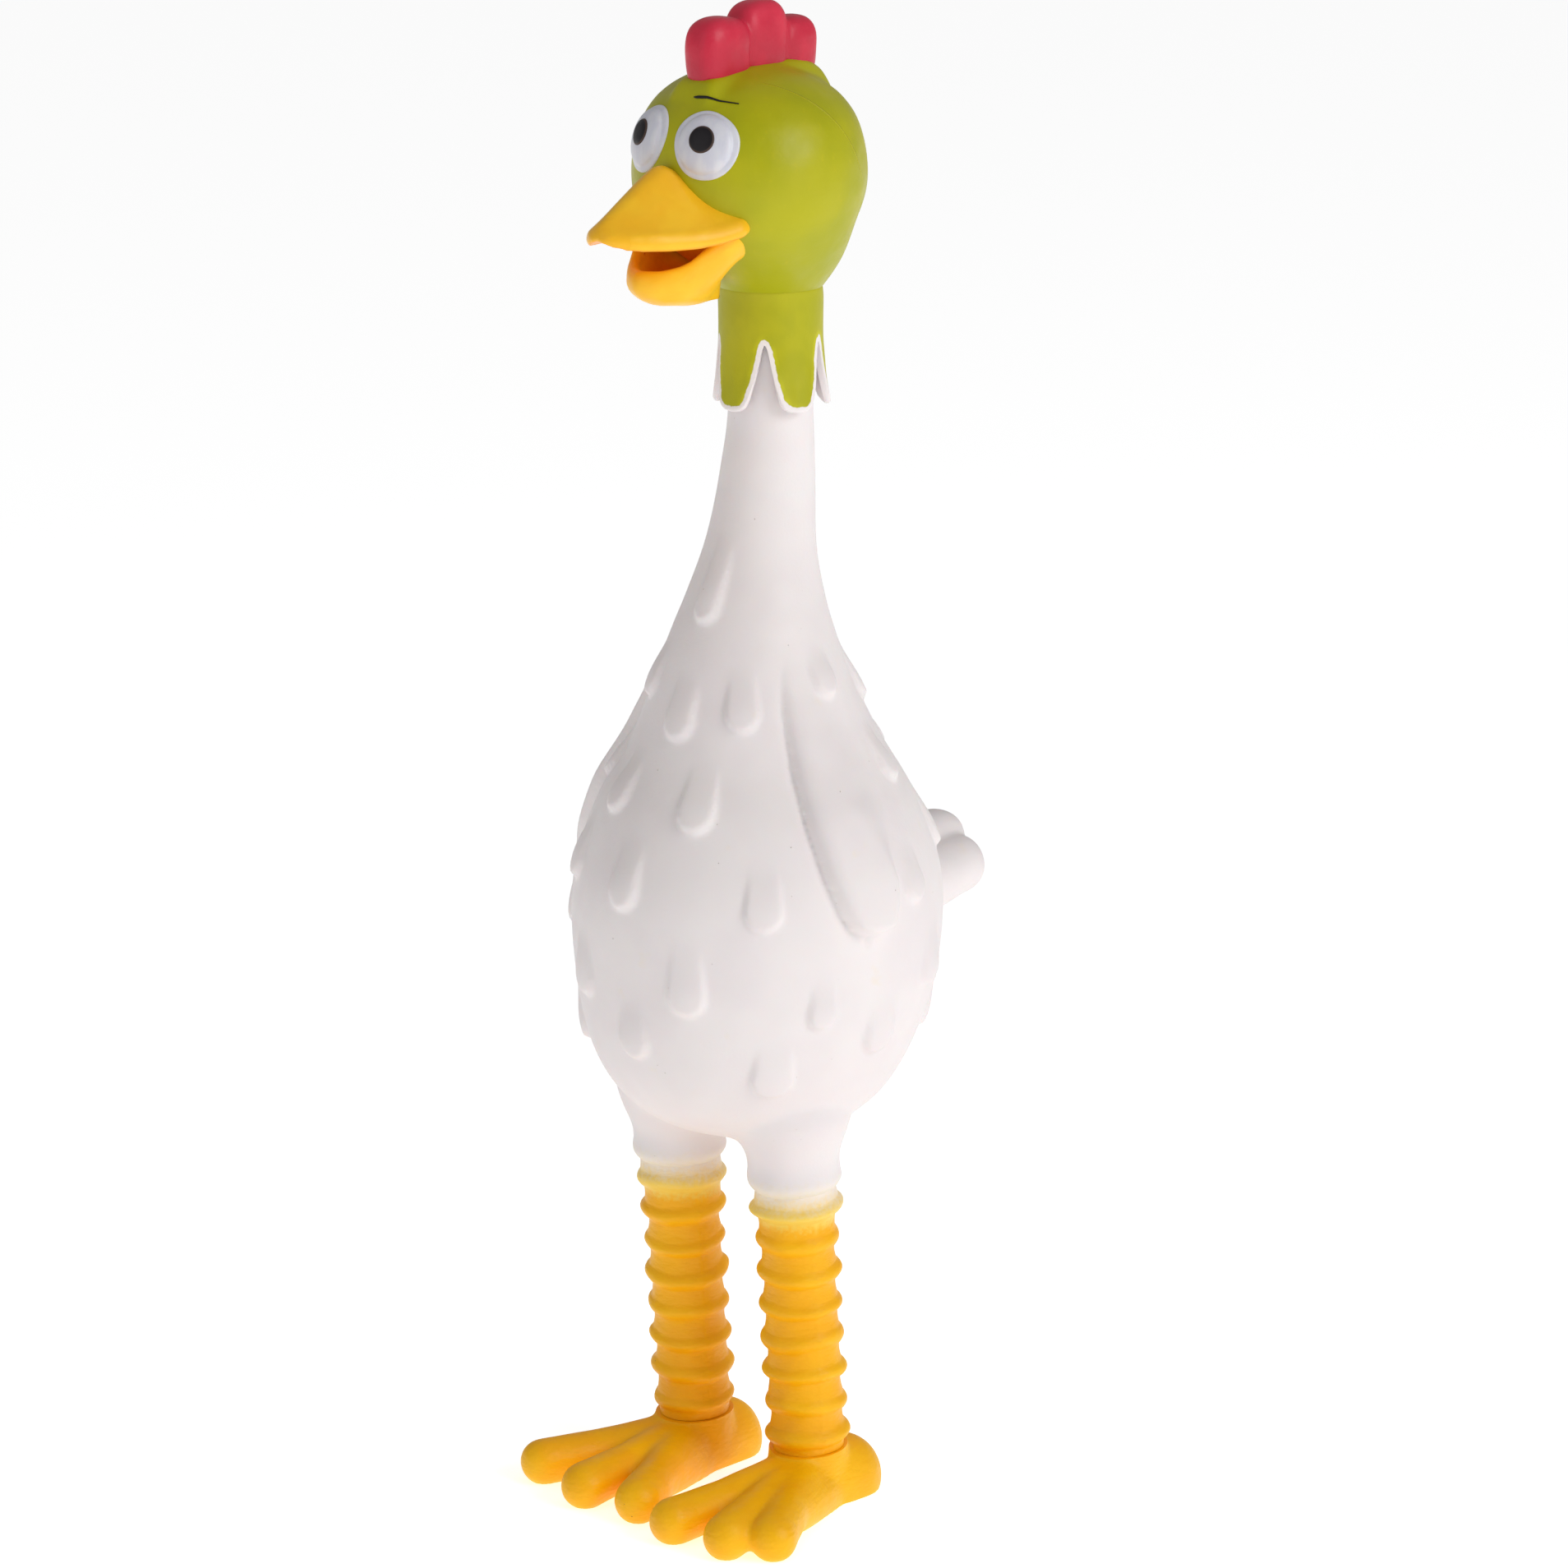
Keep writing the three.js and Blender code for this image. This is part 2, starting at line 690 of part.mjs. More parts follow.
function makeLeg(prefix, side) {
  const frame = new THREE.Group();
  frame.applyMatrix4(legMatrix(side));
  group.add(frame);
  let low = 0;
  ['lower', 'middle', 'upper'].forEach((place, i) => {
    const rings = leg.ringsPerSection[i];
    const outer = bellowsOutline(low, rings);
    const bore = leg.grooveRadius - leg.wall;
    const inner = [
      new THREE.Vector2(bore, outer[outer.length - 1].y),
      new THREE.Vector2(bore, outer[0].y),
    ];
    const section = revolve([...outer, ...inner, outer[0].clone()], faces.legAround);
    addPart(`${prefix}_${place}_bellows`, section, yellowLatex(), frame);
    low += rings * leg.pitch;
  });
}

// The foot's outer shape, or its hollow when every radius is cut by a wall.
function footSolid(turnedBy, inwards) {
  const toes = [
    [foot.innerToe, -1],
    [foot.middleToe, 0],
    [foot.outerToe, 1],
  ];
  const rootZ = foot.height - foot.toeRootRadius - 2 * gap;
  const limbs = toes.map(([reach, place]) => {
    const turn = radians(place * foot.toeSpread);
    const tipReach = reach - foot.toeRadius;
    const tip = new THREE.Vector3(
      tipReach * Math.sin(turn), -tipReach * Math.cos(turn), foot.toeRadius - foot.sink,
    );
    const forward = foot.toeRootForward;
    const root = new THREE.Vector3(forward * Math.sin(turn), -forward, rootZ);
    const balls = [[root, foot.toeRootRadius - inwards], [tip, foot.toeRadius - inwards]];
    return toSolid(hullOfBalls(balls, faces.limb));
  });
  const heelBack = foot.heelReach - foot.heelRadius;
  const heel = hullOfBalls([
    [new THREE.Vector3(0, -2, foot.heelRise + 1), foot.ankleRadius - inwards],
    [new THREE.Vector3(0, heelBack, foot.heelRise), foot.heelRadius - inwards],
  ]);
  const ankle = revolveSolid([
    new THREE.Vector2(foot.ankleRadius - inwards, foot.heelRise),
    new THREE.Vector2(foot.ankleRadius - inwards, foot.height + foot.heelRise),
  ], faces.footAround);
  const all = join(...limbs, toSolid(heel), toSolid(ankle));
  const wide = 2 * foot.middleToe;
  const floor = box(new THREE.Vector3(-wide, -wide, -wide), new THREE.Vector3(wide, wide, inwards));
  return all.subtract(toSolid(floor)).rotate([0, 0, turnedBy]);
}

function makeFoot(name, side, turnedOut) {
  const turnedBy = side * turnedOut;
  const mirror = side > 0 ? [1, 1, 1] : [-1, 1, 1];
  const shape = (inwards) => footSolid(side * turnedBy, inwards).scale(mirror);
  const reach = foot.middleToe;
  const aboveAnkle = box(
    new THREE.Vector3(-reach, -reach, -gap),
    new THREE.Vector3(reach, reach, reach),
  );
  const legSpace = toSolid(aboveAnkle.applyMatrix4(legMatrix(side)));
  const ankleAt = [side * leg.spread, 0, 0];
  const boreRadius = leg.grooveRadius - leg.wall;
  const bore = new THREE.CylinderGeometry(
    boreRadius, boreRadius, foot.height, faces.footAround,
  ).rotateX(Math.PI / 2);
  const shell = shape(0).subtract(shape(wall)).translate(ankleAt)
    .subtract(toSolid(bore.applyMatrix4(legMatrix(side))))
    .subtract(legSpace);
  addPart(name, toGeometry(shell), yellowLatex());
}

// -------------------------------------------------------------- assembly

makeBody();
makeWing('left_wing', 1);
makeWing('right_wing', -1);
makeTail();
makeSqueaker();
makeNeck();
makeRuff();
makeHead();
makeComb();
makeEye('left', 1);
makeEye('right', -1);
makeBeak();
makeLeg('left', 1);
makeLeg('right', -1);
makeFoot('left_foot', 1, leg.leftTurn);
makeFoot('right_foot', -1, leg.rightTurn);

// The origin is on the floor, under the middle of the chicken's box.
group.updateMatrixWorld(true);
const bounds = new THREE.Box3().setFromObject(group, true);
const middle = bounds.getCenter(new THREE.Vector3());
group.position.set(-middle.x, -middle.y, -bounds.min.z);

export default group;
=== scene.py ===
"""A rubber chicken: a painted latex toy that stands on two ringed legs.

Lengths are metres. The pieces are shaped round the chicken's own middle line, with the floor
at z = 0, its beak towards -Y and its left side towards +X, and are then moved into place.
"""

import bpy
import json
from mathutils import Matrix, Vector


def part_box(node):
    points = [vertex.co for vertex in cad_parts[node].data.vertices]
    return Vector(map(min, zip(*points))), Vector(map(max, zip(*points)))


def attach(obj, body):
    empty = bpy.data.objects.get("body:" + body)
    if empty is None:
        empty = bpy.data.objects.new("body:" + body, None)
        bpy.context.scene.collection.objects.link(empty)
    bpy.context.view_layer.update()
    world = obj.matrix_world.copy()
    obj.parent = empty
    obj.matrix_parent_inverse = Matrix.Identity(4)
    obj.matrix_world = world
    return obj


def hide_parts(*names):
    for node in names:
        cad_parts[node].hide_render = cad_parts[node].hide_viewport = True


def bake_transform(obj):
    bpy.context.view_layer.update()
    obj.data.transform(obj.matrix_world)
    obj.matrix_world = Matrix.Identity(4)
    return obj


bl_info = {
    "name": "Rubber chicken",
    "version": (1, 0, 0),
    "blender": (4, 5, 0),
    "location": "3D View > Sidebar > Chicken",
    "description": "Builds a standing rubber chicken over its mechanical model",
    "category": "Object",
}

import json
import math

import bmesh
import bpy
import numpy as np
from bpy.props import FloatProperty, FloatVectorProperty, PointerProperty
from mathutils import Matrix, Vector, noise
from mathutils.bvhtree import BVHTree

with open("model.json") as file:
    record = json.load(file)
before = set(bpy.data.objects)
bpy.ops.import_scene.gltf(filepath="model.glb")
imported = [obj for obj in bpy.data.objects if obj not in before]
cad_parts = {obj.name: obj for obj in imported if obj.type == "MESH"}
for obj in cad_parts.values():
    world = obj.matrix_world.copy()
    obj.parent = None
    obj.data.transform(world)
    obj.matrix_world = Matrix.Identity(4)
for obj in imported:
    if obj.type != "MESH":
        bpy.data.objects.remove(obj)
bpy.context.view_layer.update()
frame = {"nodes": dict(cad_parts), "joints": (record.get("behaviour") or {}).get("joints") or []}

MM = 0.001
JOINTS = {joint["name"]: Vector(joint["pos_m"]) for joint in frame["joints"]}
SETBACK = 6.8 * MM  # how far the neck stands behind the middle of the body
MIDDLE = Vector((JOINTS["head_turn"].x, JOINTS["head_turn"].y - SETBACK, 0))

LEG_SPREAD = 17.8 * MM
LEG_LEAN = math.radians(4.2)
ANKLE_Z = 13.2 * MM
RING_PITCH = 7.8 * MM
LEG_RINGS = 8
LEG_LENGTH = LEG_RINGS * RING_PITCH
BELLY_Z = 86 * MM
NECK_Z = 206 * MM
WAIST_Z = 232 * MM
SLEEVE_Z = 266 * MM
THROAT_Z = 277 * MM
BELLY_SETBACK = 2.2 * MM  # how far the middle of the belly hangs behind its ends
BOSS_RADIUS = 10.2 * MM
BOSS_FLARE = 27 * MM  # radius of the boss where it starts, inside the belly
SQUEAKER_HOLE = 7.5 * MM
HOLE_REACH = 26 * MM  # how far the hole is cut outwards from the middle of the cap
SQUEAKER_BACK = 17.6 * MM  # middle of the squeaker's cap to the outer face of the belly's boss
SIDES = {"left": 1, "right": -1}
WELD = 1e-6  # points closer than this are one
CROTCH_LOW = 79 * MM
CROTCH_TOP = 92 * MM  # the feathers start above it
FEATHERS_TOP = 226 * MM


# ------------------------------------------------------------------ sizes and colours


def length(name, description, default):
    return FloatProperty(name=name, description=description, default=default, unit="LENGTH", precision=5)


def power(name, description, default):
    return FloatProperty(name=name, description=description, default=default, unit="POWER")


def colour(name, description, default):
    return FloatVectorProperty(
        name=name, description=description, default=default, subtype="COLOR", size=3, min=0, max=1
    )


class ChickenBody(bpy.types.PropertyGroup):
    """Sizes of the white body, its feathers, wings and tail."""

    radius: length("Belly radius", "Widest radius of the body", 42.2 * MM)
    height: length("Body height", "Lowest point of the belly to the foot of the neck", 120 * MM)
    thigh_radius: length("Thigh radius", "Radius of each thigh above its hem", 10.3 * MM)
    hem_radius: length("Hem radius", "Radius of the rolled hem over the first ring", 10.9 * MM)
    feather_raise: length("Feather relief", "Height of a feather's lower end above the body", 1.6 * MM)
    wing_raise: length("Wing relief", "Height of the wing's lower end above the body", 4.7 * MM)
    tail_radius: length("Tail lobe radius", "Radius of each of the tail's three lobes", 7 * MM)
    detail: length("Surface detail", "Size of the faces on the moulded skin", 0.8 * MM)


class ChickenNeck(bpy.types.PropertyGroup):
    """Sizes of the neck, its green sleeve and the collar of tongues."""

    waist_radius: length("Waist radius", "Radius where the two lengths of neck meet", 10.9 * MM)
    top_radius: length("Top radius", "Radius of the neck inside the collar", 9.4 * MM)
    sleeve_radius: length("Sleeve radius", "Radius of the green sleeve under the head", 11.6 * MM)
    rim_radius: length("Collar rim radius", "Radius of the collar at its tips", 13.4 * MM)
    tongue_length: length("Tongue length", "Length of a collar tongue below the sleeve", 15.8 * MM)
    collar_wall: length("Collar thickness", "Thickness of the collar", 1.6 * MM)


class ChickenHead(bpy.types.PropertyGroup):
    """Sizes of the head, the eyes, the beak and the comb."""

    radius: length("Head radius", "Widest radius of the head", 25.9 * MM)
    height: length("Head height", "Throat to crown", 49.5 * MM)
    throat_radius: length("Throat radius", "Radius where the head meets the sleeve", 11.8 * MM)
    eye_width: length("Eye width", "Width of the white of an eye", 15.2 * MM)
    eye_height: length("Eye height", "Height of the white of an eye", 15.8 * MM)
    pupil_radius: length("Pupil radius", "Radius of the painted pupil", 2.8 * MM)
    comb_thickness: length("Comb thickness", "Thickness of the comb's lobes", 10.2 * MM)
    beak_reach: length("Beak reach", "Middle of the head to the tip of the upper beak", 48.3 * MM)
    mouth_half_width: length("Half mouth width", "Middle of the beak to a mouth corner", 17.4 * MM)


class ChickenLegs(bpy.types.PropertyGroup):
    """Sizes of the ringed legs and the feet."""

    groove_radius: length("Groove radius", "Radius of a leg between its rings", 8.3 * MM)
    ridge_radius: length("Ridge radius", "Radius of the rings", 9.35 * MM)
    top_flare: length("Top flare", "How much wider the uppermost ring is", 1.1 * MM)
    toe_radius: length("Toe radius", "Radius of a toe near its tip", 5.5 * MM)
    heel_reach: length("Heel reach", "Ankle to the back of the heel", 20 * MM)


class ChickenPaint(bpy.types.PropertyGroup):
    """Colours of the latex and its paint."""

    white: colour("White latex", "The unpainted skin", (0.85, 0.795, 0.79))
    green: colour("Green paint", "The head, sleeve and collar", (0.45, 0.43, 0.0))
    red: colour("Red paint", "The comb", (0.66, 0.025, 0.06))
    yellow: colour("Yellow paint", "The legs and feet", (1.0, 0.52, 0.0))
    beak: colour("Beak paint", "Both halves of the beak", (1.0, 0.56, 0.018))
    eye: colour("Eye white", "The whites of the eyes", (0.70, 0.70, 0.75))
    pupil: colour("Pupil black", "The pupils and the brow", (0.008, 0.006, 0.008))


class ChickenStage(bpy.types.PropertyGroup):
    """The floor, the lights and the camera."""

    key_power: power("Key light", "Power of the main light", 10)
    fill_power: power("Fill light", "Power of the front light", 2)
    surround: FloatProperty(
        name="Surround", description="Brightness of the white surround", default=0.33, min=0
    )
    lens: FloatProperty(
        name="Lens", description="Focal length of the camera", default=0.1371, unit="LENGTH", precision=4
    )


# ------------------------------------------------------------------ outlines


def smoothstep(value, low, high):
    share = np.clip((value - low) / (high - low), 0, 1)
    return share * share * (3 - 2 * share)


def along(z):
    """How far behind the body's middle the chicken's middle line runs at a height."""
    back = smoothstep(z, NECK_Z - 20 * MM, SLEEVE_Z - 14 * MM)
    forward = smoothstep(z, THROAT_Z - 3 * MM, THROAT_Z + 17 * MM)
    belly = smoothstep(z, BELLY_Z + 12 * MM, BELLY_Z + 45 * MM) * smoothstep(z, NECK_Z, NECK_Z - 40 * MM)
    return SETBACK * (back - forward) + BELLY_SETBACK * belly


def smooth_line(points, steps):
    """Points spaced along a smooth curve through the given ones."""
    points = [Vector(point) for point in points]
    line = []
    for i in range(len(points) - 1):
        before, start = points[max(i - 1, 0)], points[i]
        end, after = points[i + 1], points[min(i + 2, len(points) - 1)]
        for step in range(steps):
            t = step / steps
            line.append(
                0.5
                * (
                    2 * start
                    + (end - before) * t
                    + (2 * before - 5 * start + 4 * end - after) * t**2
                    + (3 * start - before - 3 * end + after) * t**3
                )
            )
    line.append(points[-1])
    return line


def as_table(points):
    return np.array([tuple(point) for point in points])


def body_outline(sizes, steps=6):
    """Radius and height of the body, from the belly's lowest point to the foot of the neck."""
    shape = [
        (0, 0), (0.4, 0.01), (0.66, 0.06), (0.825, 0.14), (0.935, 0.25), (0.99, 0.375),
        (0.975, 0.5), (0.85, 0.63), (0.675, 0.74), (0.54, 0.85), (0.384, 1),
    ]
    return smooth_line([(r * sizes.radius, BELLY_Z + h * sizes.height) for r, h in shape], steps)


def head_outline(sizes, steps=8):
    """Radius and height of the head, from the throat to the crown."""
    shape = [
        (0.7, 0.14), (0.87, 0.27), (0.97, 0.4), (1, 0.52), (0.965, 0.67), (0.86, 0.8),
        (0.66, 0.905), (0.36, 0.975), (0, 1),
    ]
    points = [(r * sizes.radius, THROAT_Z + h * sizes.height) for r, h in shape]
    return smooth_line([(sizes.throat_radius, THROAT_Z), *points], steps)


# ------------------------------------------------------------------ shaping


def close_rims(bm, crisp=False):
    """Fills a mesh's open rims. Their edges can be marked as crisp."""
    rims = [edge for edge in bm.edges if edge.is_boundary]
    if rims:
        bmesh.ops.holes_fill(bm, edges=rims, sides=0)
    if crisp:
        for edge in rims:
            edge.smooth = False


def turned(points, axis, around, crisp=False):
    """A closed solid of revolution about an axis, from the points of its outline."""
    bm = bmesh.new()
    verts = [bm.verts.new(point) for point in points]
    edges = [bm.edges.new(pair) for pair in zip(verts, verts[1:])]
    bmesh.ops.spin(
        bm, geom=verts + edges, axis=axis, cent=(0, 0, 0), dvec=(0, 0, 0),
        angle=math.tau, steps=around, use_merge=True, use_normal_flip=False, use_duplicate=False,
    )
    bmesh.ops.remove_doubles(bm, verts=bm.verts, dist=WELD)
    close_rims(bm, crisp)
    bmesh.ops.recalc_face_normals(bm, faces=bm.faces)
    return bm


def spun(outline, around):
    """A closed solid of revolution about the Z axis, from its radii and heights."""
    return turned([(point[0], 0, point[1]) for point in outline], (0, 0, 1), around, crisp=True)


def follow_middle(bm):
    """Moves a solid of revolution's rings onto the chicken's curved middle line."""
    for vert in bm.verts:
        vert.co.y += float(along(vert.co.z))
    return bm


def shaped(columns, rows, place):
    """A skin bent from a flat grid. place(u, v) gives the point at a share of each side."""
    bm = bmesh.new()
    bmesh.ops.create_grid(bm, x_segments=columns, y_segments=rows, size=1)
    for vert in bm.verts:
        vert.co = place((vert.co.x + 1) / 2, (vert.co.y + 1) / 2)
    bmesh.ops.remove_doubles(bm, verts=bm.verts, dist=2e-6)
    bmesh.ops.recalc_face_normals(bm, faces=bm.faces)
    return bm


def limb(balls, around=32):
    """The convex skin over a row of balls, each a centre and a radius."""
    bm = bmesh.new()
    for centre, radius in balls:
        bmesh.ops.create_uvsphere(
            bm, u_segments=around, v_segments=around // 2, radius=radius,
            matrix=Matrix.Translation(centre),
        )
    points = [vert.co.copy() for vert in bm.verts]
    bm.free()
    hull = bmesh.new()
    for point in points:
        hull.verts.new(point)
    bmesh.ops.convex_hull(hull, input=hull.verts, use_existing_faces=False)
    spare = [vert for vert in hull.verts if not vert.link_faces]
    bmesh.ops.delete(hull, geom=spare, context="VERTS")
    bmesh.ops.recalc_face_normals(hull, faces=hull.faces)
    return hull


def gathered(parts):
    """Several solids in one mesh."""
    whole = bmesh.new()
    mesh = bpy.data.meshes.new("gathered")
    for part in parts:
        part.to_mesh(mesh)
        whole.from_mesh(mesh)
        part.free()
    bpy.data.meshes.remove(mesh)
    return whole


def evaluated(bm, kind, **settings):
    """The mesh after one modifier."""
    mesh = bpy.data.meshes.new("work")
    bm.to_mesh(mesh)
    bm.free()
    work = bpy.data.objects.new("work", mesh)
    bpy.context.scene.collection.objects.link(work)
    modifier = work.modifiers.new("work", kind)
    for name, value in settings.items():
        setattr(modifier, name, value)
    done = work.evaluated_get(bpy.context.evaluated_depsgraph_get())
    result = bmesh.new()
    result.from_mesh(done.to_mesh())
    done.to_mesh_clear()
    bpy.data.objects.remove(work)
    bpy.data.meshes.remove(mesh)
    return result


def fused(parts, detail, rounds):
    """One closed skin round overlapping solids, smoothed a number of rounds."""
    bm = evaluated(gathered(parts), "REMESH", mode="VOXEL", voxel_size=detail, adaptivity=0)
    soften(bm, bm.verts, rounds)
    return bm


def soften(bm, verts, rounds):
    verts = list(verts)
    for _ in range(rounds):
        bmesh.ops.smooth_vert(bm, verts=verts, factor=0.5, use_axis_x=True, use_axis_y=True, use_axis_z=True)


def cut(bm, point, normal):
    """Cuts away what lies on the normal's side of a plane, and closes the cut with a crisp edge."""
    bmesh.ops.bisect_plane(
        bm, geom=bm.verts[:] + bm.edges[:] + bm.faces[:], dist=1e-7, plane_co=point, plane_no=normal,
        clear_outer=True, clear_inner=False,
    )
    close_rims(bm, crisp=True)


def ripple(point, scale, seed=0.0):
    """Smooth unevenness, from -1 to 1, that repeats over about one scale."""
    return noise.noise(Vector(point) / scale + Vector((seed, 2 * seed, -seed)))


def make_uneven(bm, depth, scale, seed):
    """Pushes a skin in and out by a smooth unevenness."""
    for vert in bm.verts:
        vert.co += vert.normal * (depth * ripple(vert.co, scale, seed))


def leg_matrix(side):
    """Places what is drawn round a leg's own axis, with the ankle at the origin."""
    place = Matrix.Translation((side * LEG_SPREAD, 0, ANKLE_Z))
    return place @ Matrix.Rotation(LEG_LEAN, 4, "X")


# ------------------------------------------------------------------ pieces


def piece(name, bm, material, rim_material=None):
    """A finished piece: moved into place, smooth shaded, with its resting shape remembered."""
    bmesh.ops.triangulate(bm, faces=[face for face in bm.faces if len(face.verts) > 4])
    mesh = bpy.data.meshes.new(name)
    bm.to_mesh(mesh)
    bm.free()
    count = len(mesh.vertices)
    points = np.empty(count * 3, np.float32)
    mesh.vertices.foreach_get("co", points)
    rest = mesh.attributes.new("rest", "FLOAT_VECTOR", "POINT")
    rest.data.foreach_set("vector", points)
    mesh.transform(Matrix.Translation(MIDDLE))
    mesh.polygons.foreach_set("use_smooth", [True] * len(mesh.polygons))
    mesh.materials.append(material)
    if rim_material:
        mesh.materials.append(rim_material)
    obj = bpy.data.objects.new(name, mesh)
    bpy.context.scene.collection.objects.link(obj)
    return obj


def remember(obj, name, values):
    """Keeps one number for each point of a piece, for its paint to read."""
    kept = obj.data.attributes.new(name, "FLOAT", "POINT")
    kept.data.foreach_set("value", np.asarray(values, np.float32))


# ------------------------------------------------------------------ finishes


class Finish:
    """One material: a shader, and the nodes that colour and roughen it."""

    def __init__(self, name, roughness, coat=0.0, soft=0.0):
        self.material = bpy.data.materials.new(name)
        self.material.use_nodes = True
        self.tree = self.material.node_tree
        self.shader = self.tree.nodes["Principled BSDF"]
        self.shader.inputs["Roughness"].default_value = roughness
        self.shader.inputs["Specular IOR Level"].default_value = 0.3
        self.shader.inputs["Coat Weight"].default_value = coat
        self.shader.inputs["Coat Roughness"].default_value = 0.25
        self.shader.inputs["Subsurface Weight"].default_value = soft
        self.shader.inputs["Subsurface Scale"].default_value = 1.5 * MM
        self.point = self.node("ShaderNodeAttribute", attribute_name="rest").outputs["Vector"]

    def node(self, kind, inputs=None, **settings):
        made = self.tree.nodes.new(kind)
        for name, value in settings.items():
            setattr(made, name, value)
        for name, value in (inputs or {}).items():
            if isinstance(value, bpy.types.NodeSocket):
                self.tree.links.new(value, made.inputs[name])
            else:
                made.inputs[name].default_value = value
        return made

    def number(self, operation, a, b=0.0, c=0.0):
        return self.node("ShaderNodeMath", {0: a, 1: b, 2: c}, operation=operation).outputs[0]

    def axis(self, letter):
        return self.node("ShaderNodeSeparateXYZ", {0: self.point}).outputs[letter]

    def kept(self, name):
        return self.node("ShaderNodeAttribute", attribute_name=name).outputs["Fac"]

    def grain(self, size, detail=2.0, stretch=(1, 1, 1)):
        """Noise whose lumps are about this size."""
        place = self.node("ShaderNodeMapping", {"Vector": self.point, "Scale": stretch}).outputs[0]
        return self.node(
            "ShaderNodeTexNoise", {"Vector": place, "Scale": 1 / size, "Detail": detail}
        ).outputs[0]

    def dots(self, spacing, radius):
        """1 inside scattered round dots, 0 between them."""
        cells = self.node(
            "ShaderNodeTexVoronoi", {"Vector": self.point, "Scale": 1 / spacing, "Randomness": 1.0}
        ).outputs["Distance"]
        return self.ramp(cells, radius / spacing, 0.4 * radius / spacing)

    def ramp(self, value, low, high, start=0.0, end=1.0):
        """Goes smoothly from start to end as value goes from low to high."""
        return self.node(
            "ShaderNodeMapRange",
            {"Value": value, "From Min": low, "From Max": high, "To Min": start, "To Max": end},
            interpolation_type="SMOOTHSTEP",
        ).outputs[0]

    def blend(self, share, first, second):
        def solid(value):
            return value if isinstance(value, bpy.types.NodeSocket) else (*value, 1)

        return self.node(
            "ShaderNodeMix", {"Factor": share, 6: solid(first), 7: solid(second)}, data_type="RGBA"
        ).outputs[2]

    def misty_height(self, size, depth):
        """Height above the floor, made uneven as fine spray is."""
        return self.number("ADD", self.axis("Z"), self.number("MULTIPLY", self.grain(size, 4.0), depth))

    def mottle(self, size, first, second):
        """Two colours in soft patches of about this size."""
        return self.blend(self.ramp(self.grain(size), 0.35, 0.65), first, second)

    def clustered_dots(self, spacing, radius, patch, low, high):
        """Dots that show only inside patches of about a size."""
        return self.number("MULTIPLY", self.dots(spacing, radius), self.ramp(self.grain(patch), low, high))

    def paint(self, value):
        self.tree.links.new(value, self.shader.inputs["Base Color"])

    def roughen(self, grain, low, high):
        """Roughness that goes from low to high over a grain."""
        self.tree.links.new(self.ramp(grain, 0.3, 0.7, low, high), self.shader.inputs["Roughness"])

    def emboss(self, *layers):
        """Bumps, each a height socket and its depth."""
        normal = None
        for height, depth in layers:
            inputs = {"Height": height, "Distance": depth, "Strength": 1.0}
            if normal:
                inputs["Normal"] = normal
            normal = self.node("ShaderNodeBump", inputs).outputs[0]
        self.tree.links.new(normal, self.shader.inputs["Normal"])


def tinted(base, red=1.0, green=1.0, blue=1.0):
    return (min(base[0] * red, 1), min(base[1] * green, 1), min(base[2] * blue, 1))


def white_latex(paint):
    """Bare latex: faintly mottled, with pinholes, specks and a breath of yellow at the leg hems."""
    f = Finish("white_latex", 0.55, soft=0.12)
    white = tuple(paint.white)
    tone = f.mottle(22 * MM, tinted(white, 0.965, 0.955, 0.965), white)
    stain = f.ramp(f.grain(7 * MM, 3.0), 0.66, 0.78, 0, 0.35)
    tone = f.blend(stain, tone, tinted(white, 1.0, 0.95, 0.8))
    low = f.ramp(f.misty_height(1.2 * MM, 5 * MM), 83 * MM, 75.5 * MM, 0, 0.5)
    tone = f.blend(low, tone, (0.86, 0.72, 0.34))
    specks = f.clustered_dots(3.1 * MM, 0.17 * MM, 11 * MM, 0.52, 0.6)
    tone = f.blend(f.number("MULTIPLY", specks, 0.75), tone, (0.3, 0.2, 0.14))
    f.paint(tone)
    f.roughen(f.grain(5 * MM, 3.0), 0.48, 0.64)
    f.emboss((f.grain(9 * MM), 0.25 * MM), (f.grain(0.9 * MM, 3.0), 0.035 * MM), (specks, -0.12 * MM))
    return f.material


def green_paint(paint):
    """Sprayed green with one long scratch, and painted shade that darkens and cools it below the cheeks."""
    f = Finish("green_paint", 0.46, coat=0.05, soft=0.02)
    green = tuple(paint.green)
    tone = f.mottle(16 * MM, tinted(green, 0.86, 0.9, 0.8), green)
    # Painted shade: darker and cooler below the cheeks, down towards the throat.
    low = f.ramp(f.axis("Z"), 296 * MM, 281 * MM, 0, 0.45)
    tone = f.blend(low, tone, tinted(green, 0.78, 0.86, 1.6))
    warm = f.ramp(f.grain(2.2 * MM, 4.0), 0.62, 0.72, 0, 0.25)
    tone = f.blend(warm, tone, tinted(green, 1.15, 1.05, 1.0))
    scratch_plane = f.node(
        "ShaderNodeVectorMath", {0: f.point, 1: (-0.35, 0.80, 0.49)}, operation="DOT_PRODUCT"
    ).outputs["Value"]
    off = f.number("ABSOLUTE", f.number("SUBTRACT", scratch_plane, 148.5 * MM))
    line = f.number("MULTIPLY", f.ramp(off, 0.28 * MM, 0.05 * MM), f.ramp(f.axis("X"), 10 * MM, 14 * MM))
    line = f.number("MULTIPLY", line, f.ramp(f.axis("Z"), 299 * MM, 306 * MM))
    tone = f.blend(f.number("MULTIPLY", line, 0.4), tone, tinted(green, 1.4, 1.3, 3))
    f.paint(tone)
    f.roughen(f.grain(6 * MM, 3.0), 0.36, 0.5)
    f.emboss((f.grain(7 * MM), 0.2 * MM), (f.grain(0.8 * MM, 3.0), 0.03 * MM), (line, 0.15 * MM))
    return f.material


